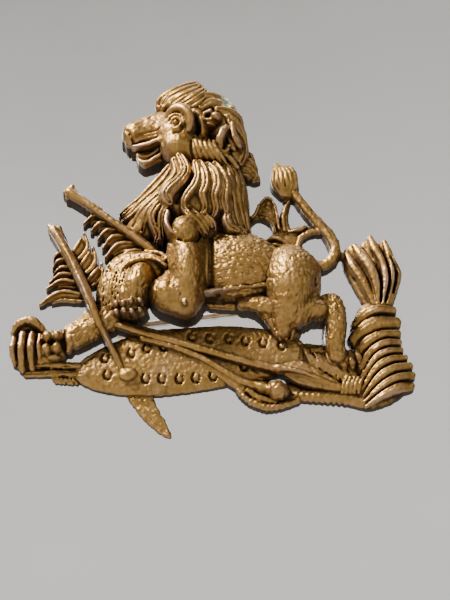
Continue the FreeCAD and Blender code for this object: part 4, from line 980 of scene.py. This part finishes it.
# ---- each piece: its patch of the drawing, its top, and the seed, size and depth of its skin ----
PIECES = [
    ("lion_forelock", forelock, (-8.2, -0.6), (20.2, 25.8), 7.2, (1, 0.28, 0.02)),
    ("mane_crest", crest, (-3.0, 6.0), (10.8, 24.3), 8.0, (2, 0.3, 0.03)),
    ("mane_back_tuft", back_tuft, (3.4, 7.2), (10.6, 15.6), 3.7, (4, 0.4, 0.06)),
    ("lion_head", head, (-13.4, 1.8), (10.8, 22.6), 8.8, (6, 0.25, 0.022)),
    ("lion_ear", ear, (-2.2, 2.2), (16.4, 20.4), 8.3, (8, 0.3, 0.03)),
    ("lion_lower_jaw", lower_jaw, (-11.8, -3.6), (11.9, 16.6), 4.9, (9, 0.3, 0.03)),
    ("mane_locks", mane, (-13.4, 6.2), (-0.6, 12.8), 9.1, (12, 0.25, 0.018)),
    ("lion_body", body, (-7.2, 13.0), (-8.0, 5.4), 6.8, (15, 0.2, 0.035)),
    ("belly_fringe", fringe, (-2.4, 9.4), (-9.4, -5.0), 3.1, (17, 0.3, 0.05)),
    ("near_foreleg", near_upper_foreleg, (-9.0, 0.0), (-10.6, 4.4), 8.9, (19, 0.2, 0.025)),
    ("near_forepaw", near_forepaw, (-14.2, -7.2), (-11.0, -2.2), 6.6, (21, 0.26, 0.03)),
    ("far_upper_arm", far_upper_arm, (-16.4, -5.4), (-9.6, 1.0), 5.6, (24, 0.26, 0.04)),
    ("far_foreleg", far_foreleg, (-21.4, -12.0), (-15.2, -7.8), 4.6, (25, 0.3, 0.04)),
    ("far_forepaw", far_forepaw, (-27.6, -19.0), (-17.8, -9.8), 5.0, (27, 0.3, 0.04)),
    ("near_haunch", haunch, (6.8, 17.4), (-12.8, 0.0), 8.4, (30, 0.2, 0.03)),
    ("far_hind_knee", far_knee, (3.2, 10.8), (-12.0, -5.6), 5.4, (32, 0.2, 0.03)),
    ("far_hind_foot", far_foot, (8.0, 12.8), (-13.4, -9.0), 4.0, (34, 0.3, 0.05)),
    ("near_hind_shank", shank, (12.4, 18.8), (-17.8, -6.6), 5.5, (38, 0.2, 0.03)),
    ("near_hind_paw", hind_paw, (15.4, 21.0), (-18.2, -13.2), 3.7, None),
    ("tail", tail, (11.0, 20.2), (-2.6, 10.0), 3.1, (42, 0.3, 0.03)),
    ("tail_tuft", tail_tuft, (8.4, 12.8), (7.6, 14.4), 3.7, None),
    ("tail_tie_bar", tie_bar, (10.0, 13.0), (8.0, 9.8), 1.7, None),
    ("leaf_spray", leaves, (4.4, 15.4), (-0.4, 8.9), 3.0, (46, 0.3, 0.04)),
    ("chest_arrow", chest_arrow, (-21.1, -5.6), (-3.0, 10.5), 4.3, (48, 0.4, 0.03)),
    ("chest_arrow_flights", chest_flights, (-18.6, -8.2), (-2.4, 5.6), 3.4, (47, 0.3, 0.03)),
    ("crossing_arrow", crossing_arrow, (-23.2, -9.0), (-18.8, 4.4), 4.4, (49, 0.4, 0.03)),
    ("crossing_arrow_flights", crossing_flights, (-24.2, -14.6), (-8.4, 3.9), 2.9, (50, 0.3, 0.03)),
    ("long_spear", spear, (-14.9, 18.6), (-20.0, -9.8), 4.4, (51, 0.35, 0.03)),
    ("knobbed_club", club, (-10.0, 11.0), (-21.8, -12.0), 4.7, (52, 0.3, 0.03)),
    ("shield", shield, (-19.1, 13.4), (-21.2, -10.4), 2.5, (54, 0.26, 0.035)),
    ("shield_stick", stick, (-26.0, 16.4), (-19.1, -12.6), 2.2, (57, 0.35, 0.03)),
    ("point_below_shield", lower_point, (-11.9, -5.0), (-26.4, -20.0), 1.6, (55, 0.35, 0.05)),
    ("ground_bowl", bowl, (3.0, 13.0), (-23.1, -18.2), 3.2, (60, 0.3, 0.04)),
    ("twisted_band", twisted_band, (10.2, 21.2), (-23.0, -18.8), 3.1, None),
    ("fur_strip", fur, (12.0, 21.2), (-21.4, -13.0), 2.9, (62, 0.3, 0.03)),
    ("plume", plume, (18.4, 26.9), (-8.0, 3.2), 3.5, (64, 0.3, 0.025)),
    ("wrapped_stem", stem, (18.8, 27.8), (-22.9, -7.0), 4.8, (66, 0.3, 0.03)),
]
CORRODED = {"mane_crest": (2.4, 22.0)}      # the one place where the metal has turned pale green
CORRODED_REACH = 1.6
NEAR, WIDE = 0.26, 0.9      # the reaches over which a crease or a crown is told from its surroundings
BACK_EDGE = 0.2             # below twice this height the metal is plain, like the back


def modelled():
    """Every piece; the backs lie a hair apart, so that no two faces fall on one another."""
    casting = []
    for number, (name, model, x, z, top, skin) in enumerate(PIECES):
        wax = Wax(x, z, top)
        model(wax)
        if skin:
            wax.roughen(*skin)
        data, points = wax.mesh(name + "_modelled", BACK_STEP * number)
        casting.append((name, wax, data, points))
    return casting


def whole_relief(casting):
    """The height of the metal over the whole drawing, from the pieces' own height maps."""
    low = np.min([wax.i0 for _, wax, _, _ in casting], axis=0)
    high = np.max([np.add(wax.i0, wax.field.shape[:2]) for _, wax, _, _ in casting], axis=0)
    relief = np.zeros(high - low, np.float32)
    for _, wax, _, _ in casting:
        i, j = np.subtract(wax.i0, low)
        patch = relief[i:i + wax.field.shape[0], j:j + wax.field.shape[1]]
        np.maximum(patch, wax.heights(), out=patch)
    return relief, low


def softened(relief, reach):
    """The relief averaged over the metal that far either way, twice over."""
    metal = (relief > 0).astype(np.float32)
    return spread(relief, reach) / np.maximum(spread(metal, reach), 0.02)


def spread(relief, reach):
    """The relief averaged over that far either way, metal or not, twice over."""
    cells = round(reach / STEP)
    for _ in range(2):
        for axis in (0, 1):
            ends = np.concatenate([np.take(relief, [0] * (cells + 1), axis), relief,
                                   np.take(relief, [-1] * cells, axis)], axis)
            total = np.cumsum(ends, axis=axis)
            size = relief.shape[axis]
            upper = np.take(total, range(2 * cells + 1, 2 * cells + 1 + size), axis)
            lower = np.take(total, range(size), axis)
            relief = (upper - lower) / (2 * cells + 1)
    return relief


def sampled(heights, low, points):
    """The height that a map of the drawing gives at each point."""
    u = np.clip(points[:, 0] / STEP - low[0], 0, heights.shape[0] - 1.001)
    v = np.clip(points[:, 1] / STEP - low[1], 0, heights.shape[1] - 1.001)
    a, b = u.astype(int), v.astype(int)
    s, t = u - a, v - b
    return (heights[a, b] * (1 - s) * (1 - t) + heights[a + 1, b] * s * (1 - t)
            + heights[a, b + 1] * (1 - s) * t + heights[a + 1, b + 1] * s * t)


def add_value(data, name, values):
    attribute = data.attributes.new(name, "FLOAT", "POINT")
    attribute.data.foreach_set("value", np.asarray(values, np.float32))


# ---- finishes ---------------------------------------------------------------------------
class Value:
    """A shader socket that can be used in sums as if it were a number."""

    def __init__(self, finish, socket):
        self.finish = finish
        self.socket = socket

    def sum(self, operation, first, second=0.0, clamp=False):
        settings = {"operation": operation, "use_clamp": clamp}
        return self.finish.value("ShaderNodeMath", settings, {0: first, 1: second})

    def __add__(self, other):
        return self.sum("ADD", self, other)

    def __sub__(self, other):
        return self.sum("SUBTRACT", self, other)

    def __rsub__(self, other):
        return self.sum("SUBTRACT", other, self)

    def __mul__(self, other):
        return self.sum("MULTIPLY", self, other)

    __radd__ = __add__

    def held(self):
        """Kept between nothing and one."""
        return self.sum("ADD", self, 0.0, clamp=True)


class Finish:
    """A metal finish that is built up node by node."""

    def __init__(self, name):
        self.material = bpy.data.materials.new(name)
        self.material.use_nodes = True
        self.tree = self.material.node_tree
        self.surface = self.tree.nodes["Principled BSDF"]

    def node(self, kind, settings=None, inputs=None):
        made = self.tree.nodes.new(kind)
        for key, setting in (settings or {}).items():
            setattr(made, key, setting)
        for key, entry in (inputs or {}).items():
            self.feed(made.inputs[key], entry)
        return made

    def value(self, kind, settings=None, inputs=None, output=0):
        return Value(self, self.node(kind, settings, inputs).outputs[output])

    def feed(self, socket, entry):
        if isinstance(entry, Value):
            self.tree.links.new(entry.socket, socket)
        else:
            socket.default_value = entry

    def carried(self, name):
        """A value that the piece carries at each of its points."""
        return self.value("ShaderNodeAttribute", {"attribute_name": name}, output="Fac")

    def mottle(self, size, detail=3.0, stretch=(1, 1, 1)):
        """Uneven cloud between nothing and one, about that many millimetres across."""
        place = self.value("ShaderNodeTexCoord", output="Object")
        scaled = self.value("ShaderNodeVectorMath", {"operation": "MULTIPLY"},
                            {0: place, 1: tuple(1000 * s / size for s in stretch)})
        return self.value("ShaderNodeTexNoise", None, {"Vector": scaled, "Scale": 1.0, "Detail": detail})

    def between(self, low, high, amount):
        """Nothing below the lower value, one above the upper, a soft step between."""
        return self.value("ShaderNodeMapRange", {"interpolation_type": "SMOOTHSTEP"},
                          {"Value": amount, "From Min": low, "From Max": high})

    def tint(self, share, first, second):
        """The first colour going over to the second by that share."""
        return self.value("ShaderNodeMix", {"data_type": "RGBA"}, {0: share, 6: first, 7: second}, output=2)

    def grain(self, amount, depth_mm, strength):
        return self.value("ShaderNodeBump", None,
                          {"Height": amount, "Distance": depth_mm / 1000, "Strength": strength})

    def set(self, **inputs):
        for key, entry in inputs.items():
            self.feed(self.surface.inputs[key.replace("_", " ")], entry)
        return self.material


def colour(code):
    """A colour as it is seen, in linear light."""
    parts = [int(code[k:k + 2], 16) / 255 for k in (0, 2, 4)]
    return (*[((p + 0.055) / 1.055) ** 2.4 if p > 0.04 else p / 12.92 for p in parts], 1.0)


def gilt_casting():
    f = Finish("worn gilt casting")
    crease = f.carried("crease")
    crown = f.carried("crown")
    cloud = f.mottle(5.0)
    fleck = f.mottle(0.7, 4.0)
    rubbed = (f.between(0.05, 0.8, crown) * 0.9 + (cloud - 0.5) * 0.6 + (fleck - 0.5) * 0.4).held()
    gold = f.tint(f.between(0.3, 0.7, fleck), colour("6f5428"), colour("82643a"))
    bronze = f.tint(f.between(0.3, 0.7, cloud), colour("745843"), colour("957a64"))
    metal = f.tint(rubbed, gold, bronze)
    # painted shade: deep in the creases the colour goes towards near black and the metal loses its sheen,
    # standing in for shadow
    crease_shade = (f.between(0.04, 0.42, crease + (fleck - 0.5) * 0.25) * 0.95).held()
    spot = f.between(0.62, 0.72, f.mottle(1.1)) * 0.4
    # the colour darkens towards near black with the random stains and with the painted shade of the creases
    stained_and_shaded = f.tint((crease_shade + spot).held(), metal, colour("1e130a"))
    white = f.carried("corroded")
    return f.set(
        Base_Color=f.tint((white * f.between(0.4, 0.6, fleck)).held(), stained_and_shaded, colour("bccab8")),
        Metallic=(1.0 - crease_shade * 0.75 - white * 0.8).held(), Specular_IOR_Level=0.1,
        Roughness=(0.47 + crease_shade * 0.25 + (fleck - 0.5) * 0.24 - rubbed * 0.06).held(),
        Normal=f.grain(f.mottle(0.3, 4.0), 0.04, 0.6))


def wrought(name, light, dark, roughness, stretch=(1, 1, 1)):
    """Drawn or pressed metal with faint drawing marks and a tarnish that comes and goes."""
    f = Finish(name)
    cloud = f.mottle(2.4, 4.0)
    marks = f.mottle(0.35, 3.0, stretch)
    return f.set(
        Base_Color=f.tint(f.between(0.35, 0.7, cloud), colour(light), colour(dark)), Metallic=1.0,
        Roughness=(roughness + (marks - 0.5) * 0.16 + (cloud - 0.5) * 0.2).held(),
        Normal=f.grain(marks, 0.008, 0.5))


def backdrop_grey():
    f = Finish("matt grey backdrop")
    return f.set(Base_Color=f.tint(f.mottle(60.0), colour("989897"), colour("a0a09f")), Roughness=0.9)


# ---- the badge --------------------------------------------------------------------------
def worn(name, data, points, means, low):
    """Give a piece what its finish depends on: how deep or how proud each point of it lies; how deep it
    lies sets the painted shade in its creases.
    """
    here = points[:, 2]
    near, wide = [sampled(mean, low, points) - here for mean in means]
    front = np.clip((here - BACK_EDGE) / BACK_EDGE, 0, 1)
    # crease: how far a point lies below the metal round it, which sets the painted shade of the finish
    add_value(data, "crease", np.clip(near * 0.8 + wide * 0.16, 0, 1) * front)
    add_value(data, "crown", np.clip(-near * 0.9 - wide * 0.1, 0, 1) * front)
    spot_x, spot_z = CORRODED.get(name, (np.inf, np.inf))
    away = np.hypot(points[:, 0] - spot_x, points[:, 1] - spot_z)
    add_value(data, "corroded", np.clip(CORRODED_REACH - away, 0, 1) * front)


casting = modelled()
relief, relief_low = whole_relief(casting)
means = [softened(relief, reach) for reach in (NEAR, WIDE)]
gilt = gilt_casting()
for name, _, data, points in casting:
    worn(name, data, points, means, relief_low)
    data.shade_smooth()
    data.materials.append(gilt)
    piece = bpy.data.objects.new(name + "_modelled", data)
    bpy.context.scene.collection.objects.link(piece)
    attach(piece, "badge")
    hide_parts(name)

brass = wrought("bracket brass", "b99a5c", "7d6230", 0.36, (1, 1, 6))
steel = wrought("pin steel", "b9b6b0", "8d8880", 0.3, (0.2, 1, 1))
solder = wrought("grey solder", "a5a5a2", "6f6e6a", 0.46)
for names, metal in (
    (("hinge_bracket", "pin_catch"), brass),
    (("hinge_rivet", "brooch_pin"), steel),
    (("solder_pads",), solder),
):
    for name in names:
        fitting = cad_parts[name]
        fitting.data.materials.clear()
        fitting.data.materials.append(metal)

# ---- the studio, in metres --------------------------------------------------------------
FLOOR = -0.112
FLOOR_RINGS = (0.0, 0.08, 0.16, 0.24, 0.32)
SWEEP_RADIUS = 0.12
SWEEP_STEPS = 12
WALL_TOP = 0.52
SIDES = 96
profile = [(r, FLOOR) for r in FLOOR_RINGS]
for k in range(1, SWEEP_STEPS + 1):
    turn = math.radians(90 * k / SWEEP_STEPS)
    out, up = SWEEP_RADIUS * math.sin(turn), SWEEP_RADIUS * (1 - math.cos(turn))
    profile.append((FLOOR_RINGS[-1] + out, FLOOR + up))
profile.append((FLOOR_RINGS[-1] + SWEEP_RADIUS, WALL_TOP))
corners = []
for radius, z in profile:
    for k in range(SIDES):
        turn = 2 * math.pi * k / SIDES
        corners.append((radius * math.cos(turn), radius * math.sin(turn), z))
panels = []
for row in range(len(profile) - 1):
    for k in range(SIDES):
        a, b = row * SIDES + k, row * SIDES + (k + 1) % SIDES
        panels.append((a, b, b + SIDES, a + SIDES))
sweep = bpy.data.meshes.new("studio sweep")
sweep.from_pydata(corners, [], panels)
sweep.shade_smooth()
sweep.materials.append(backdrop_grey())
studio = bpy.data.objects.new("studio_sweep", sweep)
bpy.context.scene.collection.objects.link(studio)


LIT_POINT = Vector((0, 0, -0.004))


def softbox(name, place, size, power, warmth=(1.0, 1.0, 1.0)):
    """A lamp of that size and power, turned to the middle of the badge."""
    lamp = bpy.data.lights.new(name, "AREA")
    lamp.shape = "RECTANGLE"
    lamp.size, lamp.size_y = size
    lamp.energy = power
    lamp.color = warmth
    box = bpy.data.objects.new(name, lamp)
    box.location = place
    box.rotation_euler = (LIT_POINT - Vector(place)).to_track_quat("-Z", "Y").to_euler()
    box.visible_camera = False
    bpy.context.scene.collection.objects.link(box)


softbox("key_softbox", (-0.20, -0.13, 0.22), (0.09, 0.07), 8.4, (1.0, 0.97, 0.93))
softbox("front_fill", (0.20, -0.26, 0.02), (0.16, 0.16), 0.3, (0.94, 0.97, 1.0))
softbox("top_strip", (0.04, 0.05, 0.30), (0.26, 0.06), 0.7)
softbox("rear_fill", (-0.05, 0.28, 0.14), (0.24, 0.20), 2.0)
sky = bpy.data.worlds.new("studio air")
sky.use_nodes = True
air = sky.node_tree.nodes["Background"].inputs
air["Color"].default_value = (0.8, 0.85, 0.9, 1.0)
air["Strength"].default_value = 0.08
bpy.context.scene.world = sky

# ---- the camera, a little below the badge and looking up at its face -------------------
LOOK_AT = at(1.96, -6.26)
CAMERA_DISTANCE = 0.2
CAMERA_RISE = math.radians(20)
LENS_MM = 85.7
lens = bpy.data.cameras.new("camera")
lens.lens = LENS_MM
lens.clip_start = 0.01
camera = bpy.data.objects.new("camera", lens)
camera.location = LOOK_AT - CAMERA_DISTANCE * Vector((0, math.cos(CAMERA_RISE), math.sin(CAMERA_RISE)))
camera.rotation_euler = (math.radians(90) + CAMERA_RISE, 0, 0)
bpy.context.scene.collection.objects.link(camera)
bpy.context.scene.camera = camera
